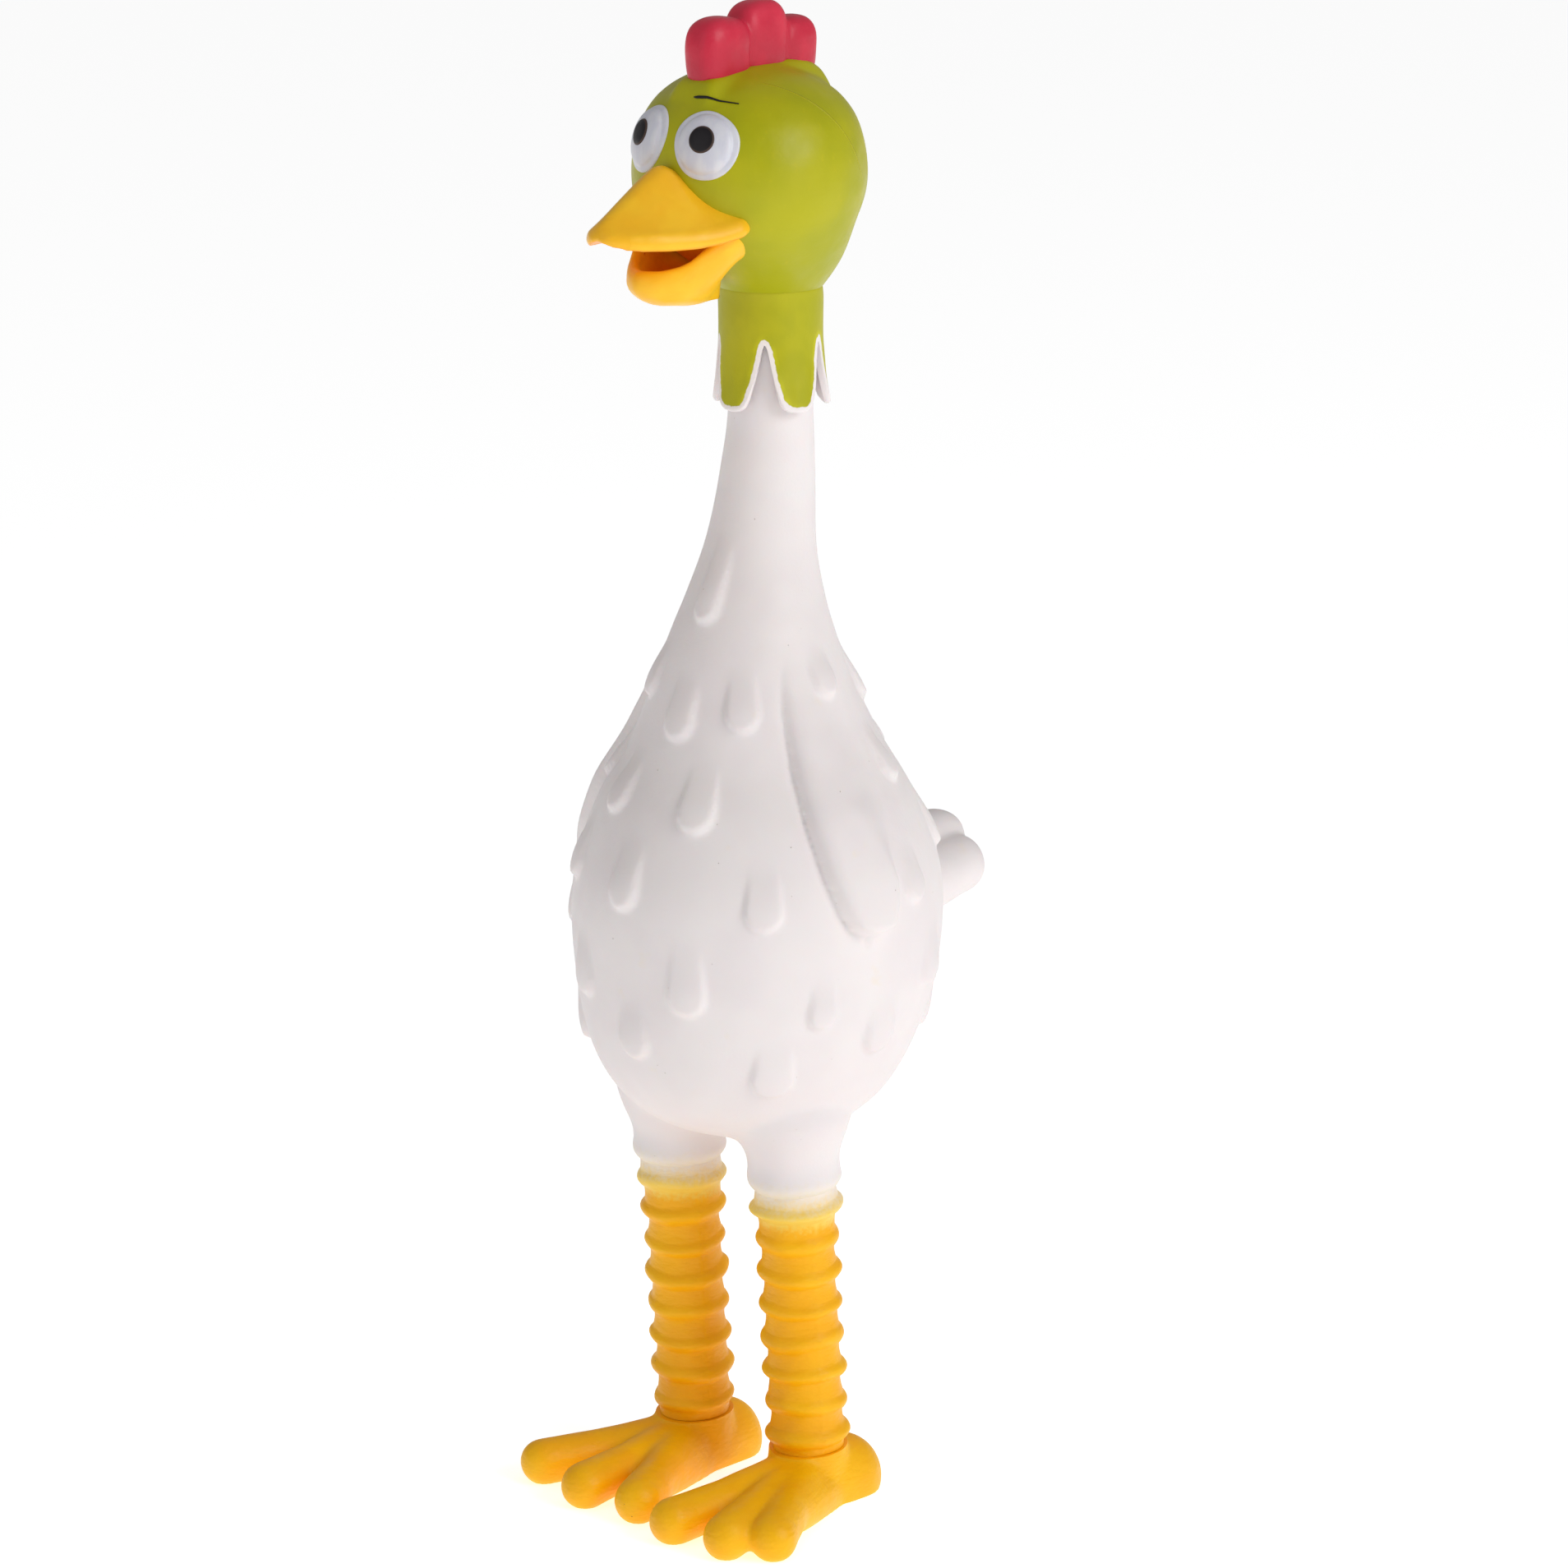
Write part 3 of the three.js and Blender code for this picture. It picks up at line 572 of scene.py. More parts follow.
def collar_paint(paint):
    """Green paint that stops a little short of the tongues' edges, where bare latex shows."""
    f = Finish("collar_paint", 0.48, coat=0.03, soft=0.02)
    green, white = tuple(paint.green), tuple(paint.white)
    edge = f.number("ADD", f.kept("edge"), f.number("MULTIPLY", f.grain(1.6 * MM, 3.0), 0.9 * MM))
    fresh = f.blend(f.ramp(edge, 3.2 * MM, 1.9 * MM, 0, 0.7), green, tinted(green, 1.3, 1.3, 1))
    tone = f.mottle(9 * MM, tinted(green, 0.9, 0.92, 0.8), fresh)
    f.paint(f.blend(f.ramp(edge, 1.75 * MM, 1.5 * MM), tone, white))
    f.emboss((f.grain(5 * MM), 0.15 * MM), (f.grain(0.8 * MM, 3.0), 0.03 * MM))
    return f.material


def red_paint(paint):
    """Thick red paint, with a painted highlight that makes it paler towards the top of the comb."""
    f = Finish("red_paint", 0.44, coat=0.1, soft=0.03)
    red = tuple(paint.red)
    tone = f.mottle(8 * MM, tinted(red, 0.86, 0.7, 0.8), red)
    # Painted highlight: paler and pinker towards the top of the comb, so its base reads darker.
    pale = f.ramp(f.axis("Z"), 330 * MM, 340 * MM, 0, 0.25)
    tone = f.blend(pale, tone, tinted(red, 1.12, 1.7, 1.5))
    pits = f.clustered_dots(6 * MM, 0.3 * MM, 9 * MM, 0.55, 0.6)
    f.paint(f.blend(pits, tone, (0.05, 0.01, 0.01)))
    f.roughen(f.grain(4 * MM, 3.0), 0.35, 0.5)
    f.emboss((f.grain(4 * MM), 0.25 * MM), (f.grain(0.7 * MM, 3.0), 0.03 * MM), (pits, -0.2 * MM))
    return f.material


def yellow_paint(paint):
    """Sprayed yellow that thins out to pale and then to bare latex at the top of the legs."""
    f = Finish("yellow_paint", 0.5, soft=0.03)
    yellow, white = tuple(paint.yellow), tuple(paint.white)
    tone = f.mottle(14 * MM, tinted(yellow, 0.97, 0.9, 0.8), yellow)
    # Painted shade: darker and more orange deep in the grooves between the rings.
    groove = f.kept("groove")
    tone = f.blend(f.number("MULTIPLY", groove, 0.3), tone, tinted(yellow, 0.93, 0.75, 0.6))
    mist = f.misty_height(1.0 * MM, 4 * MM)
    tone = f.blend(f.ramp(mist, 68 * MM, 71.5 * MM, 0, 0.8), tone, (0.93, 0.68, 0.12))
    tone = f.blend(f.ramp(mist, 72 * MM, 78.5 * MM, 0, 0.85), tone, white)
    pits = f.clustered_dots(5 * MM, 0.22 * MM, 12 * MM, 0.55, 0.6)
    f.paint(f.blend(f.number("MULTIPLY", pits, 0.7), tone, (0.35, 0.13, 0.01)))
    f.roughen(f.grain(5 * MM, 3.0), 0.4, 0.55)
    wrinkles = f.grain(2.2 * MM, 3.0, stretch=(1, 1, 2.5))
    f.emboss((wrinkles, 0.22 * MM), (f.grain(0.7 * MM, 3.0), 0.03 * MM), (pits, -0.15 * MM))
    return f.material


def beak_paint(paint):
    """Satin yellow, deeper orange inside the mouth, partly paint and partly painted shade, with a few
    trapped bubbles.
    """
    f = Finish("beak_paint", 0.42, coat=0.1, soft=0.03)
    base = tuple(paint.beak)
    tone = f.mottle(9 * MM, tinted(base, 0.97, 0.9, 0.7), base)
    # Inside the mouth the orange deepens: partly the mouth's own paint, partly painted shade.
    tone = f.blend(f.kept("mouth"), tone, tinted(base, 0.92, 0.62, 0.2))
    bubbles = f.clustered_dots(4 * MM, 0.3 * MM, 7 * MM, 0.53, 0.58)
    f.paint(f.blend(f.number("MULTIPLY", bubbles, 0.25), tone, tinted(base, 0.7, 0.5, 0.5)))
    f.roughen(f.grain(4 * MM, 3.0), 0.33, 0.46)
    f.emboss((f.grain(4 * MM), 0.2 * MM), (f.grain(0.8 * MM, 2.0), 0.02 * MM), (bubbles, 0.15 * MM))
    return f.material


def eye_paint(paint):
    """Brushed white with a cool cast and soft brush marks."""
    f = Finish("eye_paint", 0.35, coat=0.2, soft=0.05)
    white = tuple(paint.eye)
    marks = f.grain(2.5 * MM, 3.0, stretch=(1, 1, 0.4))
    f.paint(f.blend(f.ramp(marks, 0.35, 0.65), tinted(white, 0.9, 0.9, 0.95), white))
    f.roughen(marks, 0.3, 0.42)
    f.emboss((marks, 0.08 * MM), (f.grain(0.6 * MM, 2.0), 0.015 * MM))
    return f.material


def black_paint(paint):
    """Satin black that thins to dark brown at its rim."""
    f = Finish("black_paint", 0.4)
    black = tuple(paint.pupil)
    rim = f.ramp(f.kept("rim"), 0.9, 1.0)
    f.paint(f.blend(f.number("MULTIPLY", rim, 0.6), black, (0.09, 0.05, 0.035)))
    f.roughen(f.grain(1.5 * MM), 0.34, 0.46)
    f.emboss((f.grain(1.2 * MM), 0.04 * MM))
    return f.material


def fibre():
    """Loose white stuffing."""
    f = Finish("fibre", 0.95)
    strands = f.grain(1.2 * MM, 5.0, stretch=(1, 3, 1))
    f.paint(f.blend(f.ramp(strands, 0.35, 0.65), (0.7, 0.7, 0.68), (0.88, 0.88, 0.86)))
    f.emboss((strands, 0.5 * MM))
    return f.material


def milky_plastic():
    """Moulded milky plastic of the squeaker, read from the node's own coordinates."""
    f = Finish("milky_plastic", 0.4, soft=0.1)
    f.point = f.node("ShaderNodeTexCoord").outputs["Object"]
    f.paint(f.mottle(4 * MM, (0.68, 0.71, 0.71), (0.78, 0.8, 0.8)))
    f.roughen(f.grain(2 * MM, 3.0), 0.32, 0.48)
    f.emboss((f.grain(0.5 * MM, 2.0), 0.02 * MM))
    return f.material


# ------------------------------------------------------------------ the white skin

# Feathers: degrees from straight ahead towards its left, height of the tip, width, length.
FEATHERS = [
    (1, 204, 7, 17), (1, 179, 8.5, 13), (37, 182, 8, 12), (-37, 186, 8, 12), (-21, 162, 8, 12),
    (20, 161, 9, 13), (-37, 145, 8.5, 13), (-3, 143, 9, 14), (45, 141, 9, 13), (-52, 166, 8, 12),
    (-60, 130, 8.5, 13), (21, 121, 9.5, 15), (-25, 120, 9, 13), (64, 118, 7, 10),
    (-48, 106, 9, 12), (0, 109, 9, 12), (50, 102, 10, 12), (101, 143, 7.5, 11),
    (114, 168, 7, 11), (-101, 143, 7.5, 11), (-114, 168, 7, 11), (88, 110, 9, 12),
    (-84, 108, 9, 12), (112, 122, 9, 13), (-112, 122, 9, 13), (138, 184, 8, 12),
    (-138, 184, 8, 12), (180, 196, 8, 13), (160, 170, 8, 12), (-160, 170, 8, 12),
    (136, 150, 9, 13), (-136, 150, 9, 13), (138, 108, 9, 12), (-138, 108, 9, 12),
    (160, 124, 9, 12), (-160, 124, 9, 12), (90, 188, 7, 10), (-90, 188, 7, 10),
]


def raise_feathers(bm, sizes):
    """Lifts the skin into rounded tongues: crisp at the tip and sides, fading out upwards."""
    line = as_table(body_outline(sizes))
    verts = [vert for vert in bm.verts if CROTCH_TOP < vert.co.z < FEATHERS_TOP]
    points = as_table(vert.co for vert in verts)
    behind = points[:, 1] - along(points[:, 2])
    angle = np.degrees(np.arctan2(points[:, 0], -behind))
    reach = np.hypot(points[:, 0], behind)
    belly = np.interp(points[:, 2], line[:, 1], line[:, 0])
    on_skin = smoothstep(reach - belly, 2.5 * MM, 0.8 * MM)
    lift = np.zeros(len(verts))
    for turn, tip, width, tall in FEATHERS:
        across = np.radians((angle - turn + 180) % 360 - 180) * reach
        up = (points[:, 2] - tip * MM) / (0.94 * tall * MM)
        half = width * MM / 2
        below = np.minimum(points[:, 2] - tip * MM - half, 0)
        inside = half * (1 - 0.35 * np.clip(up - 0.4, 0, 1)) - np.hypot(across, below)
        side = smoothstep(inside, -0.2 * MM, 0.7 * MM)
        fade = 1 - smoothstep(up, 0.25, 1.25)
        crown = 1 - 0.25 * (np.abs(across) / half) ** 2
        lift = np.maximum(lift, side * fade * crown)
    lift *= sizes.feather_raise * on_skin
    bm.normal_update()
    moves = [vert.normal * float(amount) for vert, amount in zip(verts, lift)]
    for vert, move in zip(verts, moves):
        vert.co += move


def thigh(sizes, side):
    """A thigh in its leg's frame: a rolled hem, a narrow part, then a flare into the belly."""
    narrow = sizes.thigh_radius
    profile = smooth_line(
        [
            (9.1 * MM, LEG_LENGTH + 0.1 * MM), (9.9 * MM, LEG_LENGTH + 0.9 * MM),
            (sizes.hem_radius, LEG_LENGTH + 2.6 * MM), (narrow + 0.2 * MM, LEG_LENGTH + 4.8 * MM),
            (narrow, LEG_LENGTH + 6.8 * MM), (narrow + 0.7 * MM, LEG_LENGTH + 9.5 * MM),
            (narrow + 2.4 * MM, LEG_LENGTH + 14 * MM), (narrow + 3.4 * MM, LEG_LENGTH + 19 * MM),
            (narrow + 1.5 * MM, LEG_LENGTH + 26 * MM), (narrow - 4 * MM, LEG_LENGTH + 31 * MM),
        ],
        4,
    )
    bm = spun(profile, 48)
    bmesh.ops.transform(bm, matrix=leg_matrix(side), verts=bm.verts)
    return bm


# A wing's outline: height, degrees from straight ahead to its front edge and to its back edge.
WING = [
    (138, 78, 81), (139, 74.5, 85), (141, 71.5, 88), (145, 68.5, 90.5), (152, 65, 93),
    (163, 61, 97), (173, 59, 99), (186, 59, 97), (194, 62, 88), (199, 68, 74),
]


def raise_wings(bm, sizes):
    """Lifts a long finger on each side of the body: crisp in front and below, fading backwards."""
    outline = np.array(WING)
    verts = [vert for vert in bm.verts if 136 * MM < vert.co.z < 201 * MM]
    points = as_table(vert.co for vert in verts)
    behind = points[:, 1] - along(points[:, 2])
    angle = np.degrees(np.arctan2(np.abs(points[:, 0]), -behind))
    reach = np.hypot(points[:, 0], behind)
    height = points[:, 2] / MM
    ahead = np.radians(angle - np.interp(height, outline[:, 0], outline[:, 1])) * reach
    after = np.radians(np.interp(height, outline[:, 0], outline[:, 2]) - angle) * reach
    front = np.clip(ahead / (4.5 * MM), 0, 1)
    front = np.sqrt(1 - (1 - front) ** 2)
    back = smoothstep(after, 0, np.interp(height, [139, 150, 168], [2.5, 4.0, 13]) * MM)
    low = smoothstep(height, 137.8, 140.5)
    rise = np.interp(height, [139, 150, 165, 180, 198], [1, 1, 0.85, 0.6, 0.05]) * sizes.wing_raise
    groove = 0.7 * MM * np.exp(-((ahead / (0.9 * MM)) ** 2)) * smoothstep(height, 196, 180) * (after > 0)
    bm.normal_update()
    moves = rise * front * back * low - groove
    for vert, amount in zip(verts, moves):
        flat = Vector((vert.normal.x, vert.normal.y, 0.3 * vert.normal.z)).normalized()
        vert.co += flat * float(amount)


def squeaker_plug(radius, outside, inside, inner_radius=None):
    """A short rod or cone on the squeaker's axis, from outside its middle to inside it."""
    low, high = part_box("squeaker_housing")
    cap_low, cap_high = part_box("squeaker_cap")
    inner = (cap_low + cap_high) / 2 - MIDDLE
    outer = (low + high) / 2 - MIDDLE
    direction = (inner - outer).normalized()
    turn = Vector((0, 0, 1)).rotation_difference(direction).to_matrix().to_4x4()
    bm = bmesh.new()
    bmesh.ops.create_cone(
        bm, cap_ends=True, segments=64, radius1=radius, radius2=inner_radius or radius,
        depth=outside + inside,
        matrix=Matrix.Translation(inner + direction * (inside - outside) / 2) @ turn,
    )
    return bm


def carve(bm, tool):
    """The solid without what another solid covers."""
    mesh = bpy.data.meshes.new("tool")
    tool.to_mesh(mesh)
    tool.free()
    cutter = bpy.data.objects.new("tool", mesh)
    bpy.context.scene.collection.objects.link(cutter)
    result = evaluated(bm, "BOOLEAN", operation="DIFFERENCE", solver="EXACT", object=cutter)
    bpy.data.objects.remove(cutter)
    bpy.data.meshes.remove(mesh)
    return result


def body_and_lower_neck(sizes, neck):
    """The moulded white skin, from the leg hems to the neck's waist, with its relief."""
    outline = body_outline(sizes)
    lower = smooth_line(
        [
            (16.2 * MM, NECK_Z), (13.1 * MM, 216.5 * MM), (11.7 * MM, 224 * MM),
            (neck.waist_radius, WAIST_Z), (10.3 * MM, WAIST_Z + 7 * MM),
        ],
        6,
    )
    trunk = follow_middle(spun([*outline[:-1], *lower], 96))
    boss = squeaker_plug(BOSS_RADIUS, SQUEAKER_BACK - 0.1 * MM, 0, BOSS_FLARE)
    parts = [trunk, boss, thigh(sizes, 1), thigh(sizes, -1)]
    bm = fused(parts, sizes.detail, 5)
    crotch = [vert for vert in bm.verts if CROTCH_LOW < vert.co.z < CROTCH_TOP]
    soften(bm, crotch, 22)
    raise_feathers(bm, sizes)
    raise_wings(bm, sizes)
    soften(bm, [vert for vert in bm.verts if vert.co.z > CROTCH_TOP], 1)
    make_uneven(bm, 0.22 * MM, 17 * MM, 3.1)
    cut(bm, (0, 0, WAIST_Z), (0, 0, 1))
    return carve(bm, squeaker_plug(SQUEAKER_HOLE, HOLE_REACH, 2 * MM))


# ------------------------------------------------------------------ neck and collar


def upper_neck(neck):
    outline = smooth_line(
        [
            (neck.waist_radius, WAIST_Z), (10.3 * MM, WAIST_Z + 7 * MM),
            (9.7 * MM, WAIST_Z + 14 * MM), (neck.top_radius, WAIST_Z + 20 * MM),
            (neck.top_radius, SLEEVE_Z + 1 * MM),
        ],
        7,
    )
    bm = follow_middle(spun(outline, 96))
    for vert in bm.verts:
        fade = float(smoothstep(vert.co.z, WAIST_Z, WAIST_Z + 8 * MM))
        vert.co += vert.normal * (fade * 0.15 * MM * ripple(vert.co, 9 * MM, 1.7))
    return bm


TONGUES = 5
EDGE_SEARCH = 8  # degrees to each side in which the nearest edge is looked for


def tongue_edge(turn, neck):
    """Height of the collar's lower edge: a rounded tip in each fifth, a deep notch between."""
    fifth = 360 / TONGUES
    off = abs((turn + fifth / 2) % fifth - fifth / 2)
    lower = [0, 9, 15.5, 19.5, 23, 26.5, 29.5, 32.5, 35, 36]
    share = [0, 0.015, 0.06, 0.16, 0.31, 0.48, 0.68, 0.87, 0.945, 0.96]
    return SLEEVE_Z - neck.tongue_length * (1 - float(np.interp(off, lower, share)))


def collar(neck, head):
    """The green sleeve and its skirt of tongues: one sheet, which is then given its thickness."""
    top = THROAT_Z + 0.6 * MM

    def radius_at(z):
        down = max(SLEEVE_Z - z, 0) / neck.tongue_length
        up = float(smoothstep(z, SLEEVE_Z + 2 * MM, THROAT_Z))
        reach = neck.sleeve_radius + (neck.rim_radius - neck.sleeve_radius) * down**1.6
        return reach + (head.throat_radius - 0.1 * MM - neck.sleeve_radius) * up

    def place(u, v):
        turn = 360 * u
        angle = math.radians(turn)
        middle = SLEEVE_Z + 0.6 * MM
        if v < 0.35:
            z = top + (middle - top) * v / 0.35
        else:
            z = middle + (tongue_edge(turn, neck) - middle) * (v - 0.35) / 0.65
        sway = ripple((3 * math.sin(angle), 3 * math.cos(angle), z * 100), 0.8, 5)
        reach = radius_at(z) + 0.3 * MM * sway * float(smoothstep(z, SLEEVE_Z + 4 * MM, SLEEVE_Z - 10 * MM))
        return (reach * math.sin(angle), float(along(z)) - reach * math.cos(angle), z)

    bm = shaped(200, 26, place)
    middle = Vector((0, SETBACK, 262 * MM))
    if sum(face.normal.dot(face.calc_center_median() - middle) for face in bm.faces) < 0:
        bmesh.ops.reverse_faces(bm, faces=bm.faces)
    bm.normal_update()
    return bm


def edge_distances(bm, neck):
    """How far each point of the collar is from the lower edge of its tongues."""
    found = []
    for vert in bm.verts:
        turn = math.degrees(math.atan2(vert.co.x, -(vert.co.y - float(along(vert.co.z)))))
        steps = [
            (math.radians(step) * neck.rim_radius, max(vert.co.z - tongue_edge(turn + step, neck), 0))
            for step in range(-EDGE_SEARCH, EDGE_SEARCH + 1)
        ]
        found.append(min(math.hypot(across, up) for across, up in steps))
    return found


# ------------------------------------------------------------------ head


def head_skin(sizes):
    """The head, raised under the comb into a seat that falls away on all sides."""
    bm = follow_middle(spun(head_outline(sizes), 144))
    seat = np.array([(-17, 324.4), (-9, 325.8), (0, 326.8), (9, 327), (15, 326.2), (18, 324.6)]) * MM
    for vert in bm.verts:
        x, y, z = vert.co
        if z > THROAT_Z + 0.6 * sizes.height:
            top = float(np.interp(y, seat[:, 0], seat[:, 1]))
            beyond = max(seat[0, 0] - y, y - seat[-1, 0], 0)
            out = math.hypot(max(abs(x) - 4.6 * MM, 0), beyond) / MM
            wanted = top - (0.9 * out + 0.35 * out**2.2) * MM
            gap = wanted - z
            vert.co.z = z + 0.5 * (gap + math.sqrt(gap**2 + (0.5 * MM) ** 2)) - 0.1 * MM
        vert.co += vert.normal * (0.18 * MM * ripple(vert.co, 12 * MM, 7.7))
    soften(bm, [vert for vert in bm.verts if vert.co.z > 320 * MM], 5)
    bm.normal_update()
    return bm


def wrap_on_head(bm, sizes, turn, z):
    """Lays a badge on the head. It is drawn in X and Z, with its thickness towards -Y."""
    line = as_table(head_outline(sizes, 12))
    steps = np.hypot(np.diff(line[:, 0]), np.diff(line[:, 1]))
    travel = np.concatenate([[0], np.cumsum(steps)])
    start = float(np.interp(z, line[:, 1], travel))
    middle = float(np.interp(start, travel, line[:, 0]))
    for vert in bm.verts:
        s = start + vert.co.z
        reach = float(np.interp(s, travel, line[:, 0]))
        height = float(np.interp(s, travel, line[:, 1]))
        ahead = float(np.interp(s + 0.5 * MM, travel, line[:, 0]))
        behind = float(np.interp(s - 0.5 * MM, travel, line[:, 0]))
        tilt = math.asin(max(-1, min(1, (behind - ahead) / MM)))
        angle = math.radians(turn) + vert.co.x / middle
        out = -vert.co.y
        reach += out * math.cos(tilt)
        height += out * math.sin(tilt)
        vert.co = (reach * math.sin(angle), float(along(height)) - reach * math.cos(angle), height)
    bmesh.ops.recalc_face_normals(bm, faces=bm.faces)


def round_badge(profile, around=72):
    """A round button in X and Z, from its radii and heights. Its back is closed."""
    return turned([(r, -h, 0) for r, h in profile], (0, 1, 0), around)


EYE_TURN = {1: 20, -1: -22.3}  # degrees from straight ahead
EYE_Z = 311.6 * MM
EYE_WAVES = [(2, 0.03, 2.4), (3, 0.022, 0.6), (5, 0.008, 0)]  # waves round the rim, depth, start


def eye_dome(sizes, side):
    """The white of an eye: a domed disc inside a thin, uneven ring of paint."""
    reach = sizes.eye_height / 2
    shape = [
        (0, 2.0), (0.2, 1.97), (0.4, 1.84), (0.58, 1.6), (0.7, 1.33), (0.775, 1.02), (0.815, 0.72),
        (0.85, 0.52), (0.9, 0.45), (0.955, 0.36), (0.985, 0.2), (1.0, -0.1), (0.99, -0.7),
    ]
    bm = round_badge(smooth_line([(r * reach, h * MM) for r, h in shape], 4))
    for vert in bm.verts:
        share = math.hypot(vert.co.x, vert.co.z) / reach
        angle = math.atan2(vert.co.z, vert.co.x * side)
        uneven = sum(depth * math.sin(waves * angle + start) for waves, depth, start in EYE_WAVES)
        grow = 1 + uneven * float(smoothstep(share, 0.82, 1.0))
        vert.co.x *= grow * sizes.eye_width / sizes.eye_height
        vert.co.z *= grow
    wrap_on_head(bm, sizes, EYE_TURN[side], EYE_Z)
    return bm


def pupil(sizes, side):
    reach = sizes.pupil_radius
    shape = [(0, 2.4), (0.5, 2.36), (0.8, 2.24), (0.93, 2.1), (1, 1.85), (0.98, 1.2)]
    bm = round_badge(smooth_line([(r * reach, h * MM) for r, h in shape], 4), 48)
    bmesh.ops.translate(bm, verts=bm.verts, vec=(-side * 0.1 * MM, 0, 0.6 * MM))
    wrap_on_head(bm, sizes, EYE_TURN[side], EYE_Z)
    return bm


def brow(sizes):
    """A thin brush stroke that tapers outwards above the left eye."""

    def place(u, v):
        thick = 0.27 * MM * math.sin(math.pi * min(u / 0.12, 1) / 2) * (1 - 0.8 * u) + 0.06 * MM
        x = (-6.6 + 13.6 * u) * MM
        z = (10.6 + 0.4 * u - 1.2 * u**2) * MM + thick * math.cos(2 * math.pi * v)
        return (x, -0.16 * MM * math.sin(2 * math.pi * v) - 0.14 * MM, z)

    bm = shaped(32, 12, place)
    close_rims(bm)
    heights = [-vert.co.y for vert in bm.verts]
    wrap_on_head(bm, sizes, EYE_TURN[SIDES["left"]], EYE_Z)
    head = head_skin(sizes)
    surface = BVHTree.FromBMesh(head)
    head.free()
    middle = Vector((0, 0, THROAT_Z + 0.5 * sizes.height))
    for vert, height in zip(bm.verts, heights):
        out = (vert.co - middle).normalized()
        found = surface.ray_cast(vert.co + out * 9 * MM, -out)[0]
        vert.co = found + out * height
    bmesh.ops.recalc_face_normals(bm, faces=bm.faces)
    return bm


# Lobes of the comb: distance behind the middle of the head, half length, top, half thickness share.
COMB_LOBES = [(-10.0, 7.6, 337.3, 1.0), (2.2, 7.5, 340.0, 0.95), (12.8, 6.2, 335.9, 0.88)]


def comb(sizes):
    """Three boxy rounded lobes that meet in creases, standing on the crown."""
    lobes = []
    for y, half, top, thick in COMB_LOBES:
        bm = bmesh.new()
        bmesh.ops.create_uvsphere(bm, u_segments=48, v_segments=32, radius=1)
        low = 320.5 * MM
        middle = (low + top * MM) / 2
        for vert in bm.verts:
            direction = vert.co.normalized()
            power = 3.0
            total = sum(abs(part) ** power for part in direction) ** (1 / power)
            boxy = direction / total
            swell = 1 + 0.06 * boxy.z
            vert.co = (
                boxy.x * sizes.comb_thickness / 2 * thick * swell,
                y * MM + boxy.y * half * MM * (1 + 0.03 * boxy.z),
                middle + boxy.z * (top * MM - middle),
            )
        lobes.append(bm)
    bm = fused(lobes, 0.45 * MM, 3)
    make_uneven(bm, 0.25 * MM, 6 * MM, 4.2)
    return bm


BEAK_TIP_Z = 292.0 * MM
CORNER_Y = -20 * MM


def upper_beak(sizes):
    """A blunt cone with a rounded ridge and a thick rolled lip along its lower edge."""
    tip_y = -sizes.beak_reach
    reach = CORNER_Y - tip_y
    ridge = np.array([
        (-48.6, 294.9), (-46.5, 296.3), (-43, 298.5), (-39, 301.0), (-35, 303.5), (-31.5, 305.6),
        (-29.3, 306.7), (-27.6, 306.9), (-25.5, 306.0), (-22, 304.0), (-14, 300.0),
    ]) * MM
    under = np.array([
        (-48.6, 291.4), (-46, 290.7), (-42, 290.2), (-36, 289.9), (-30, 290.0), (-25, 290.5),
        (-21, 291.4), (-14, 292.5),
    ]) * MM
    back_y = -14 * MM

    def place(u, v):
        y = tip_y + (back_y - tip_y) * v**1.7
        share = (y - tip_y) / reach
        half = sizes.mouth_half_width * min(share, 1.0) ** 0.52
        if share > 1:
            half -= 0.5 * (y - CORNER_Y)
        top = float(np.interp(y, ridge[:, 0], ridge[:, 1]))
        low = float(np.interp(y, under[:, 0], under[:, 1]))
        lip = 4.0 * MM * (0.7 + 0.3 * min(share * 3, 1))
        lip_top = min(low + lip, top - 0.4 * MM)
        rise = top - lip_top
        points = smooth_line(
            [
                (0, low + 1.6 * MM), (0.5 * half, low + 1.0 * MM), (0.84 * half, low + 0.05 * MM),
                (0.965 * half, low + 0.3 * MM), (half + 0.35 * MM * min(share * 8, 1), low + 0.42 * lip),
                (0.965 * half, lip_top - 0.3 * MM), (0.85 * half, lip_top + 0.09 * rise),
                (0.62 * half, lip_top + 0.36 * rise), (0.36 * half, lip_top + 0.68 * rise),
                (0.15 * half, lip_top + 0.93 * rise), (0, top),
            ],
            4,
        )
        turn = abs(2 * u - 1)
        x, z = as_table(points)[int(round(turn * (len(points) - 1)))]
        closing = min(share / 0.07, 1.0) ** 0.5
        z = BEAK_TIP_Z + (z - BEAK_TIP_Z) * closing
        return (math.copysign(x, u - 0.5) if x else 0.0, y, z)

    bm = shaped(80, 44, place)
    close_rims(bm)
    bmesh.ops.recalc_face_normals(bm, faces=bm.faces)
    bm = fused([bm], 0.42 * MM, 3)
    soften(bm, [vert for vert in bm.verts if vert.co.y < tip_y + 4 * MM], 16)
    return bm


# Underside of the lower beak: degrees from straight ahead, height.
KEEL = [
    (0, 275.8), (15, 275.9), (24, 276.8), (33, 278.6), (41, 280.4), (49, 282.6), (58, 284.6), (75, 286.5),
]
# Rim of the lower beak: degrees from straight ahead, reach from the mouth's middle, height.
LOWER_RIM = [
    (0, 27.4, 284.4), (9, 25.9, 284.6), (18, 23.3, 285.4), (24, 21.8, 286.6), (30, 20.4, 288.6),
    (41, 18.3, 291.4), (52, 16.9, 293), (70, 14.6, 294), (112, 13, 294),
]


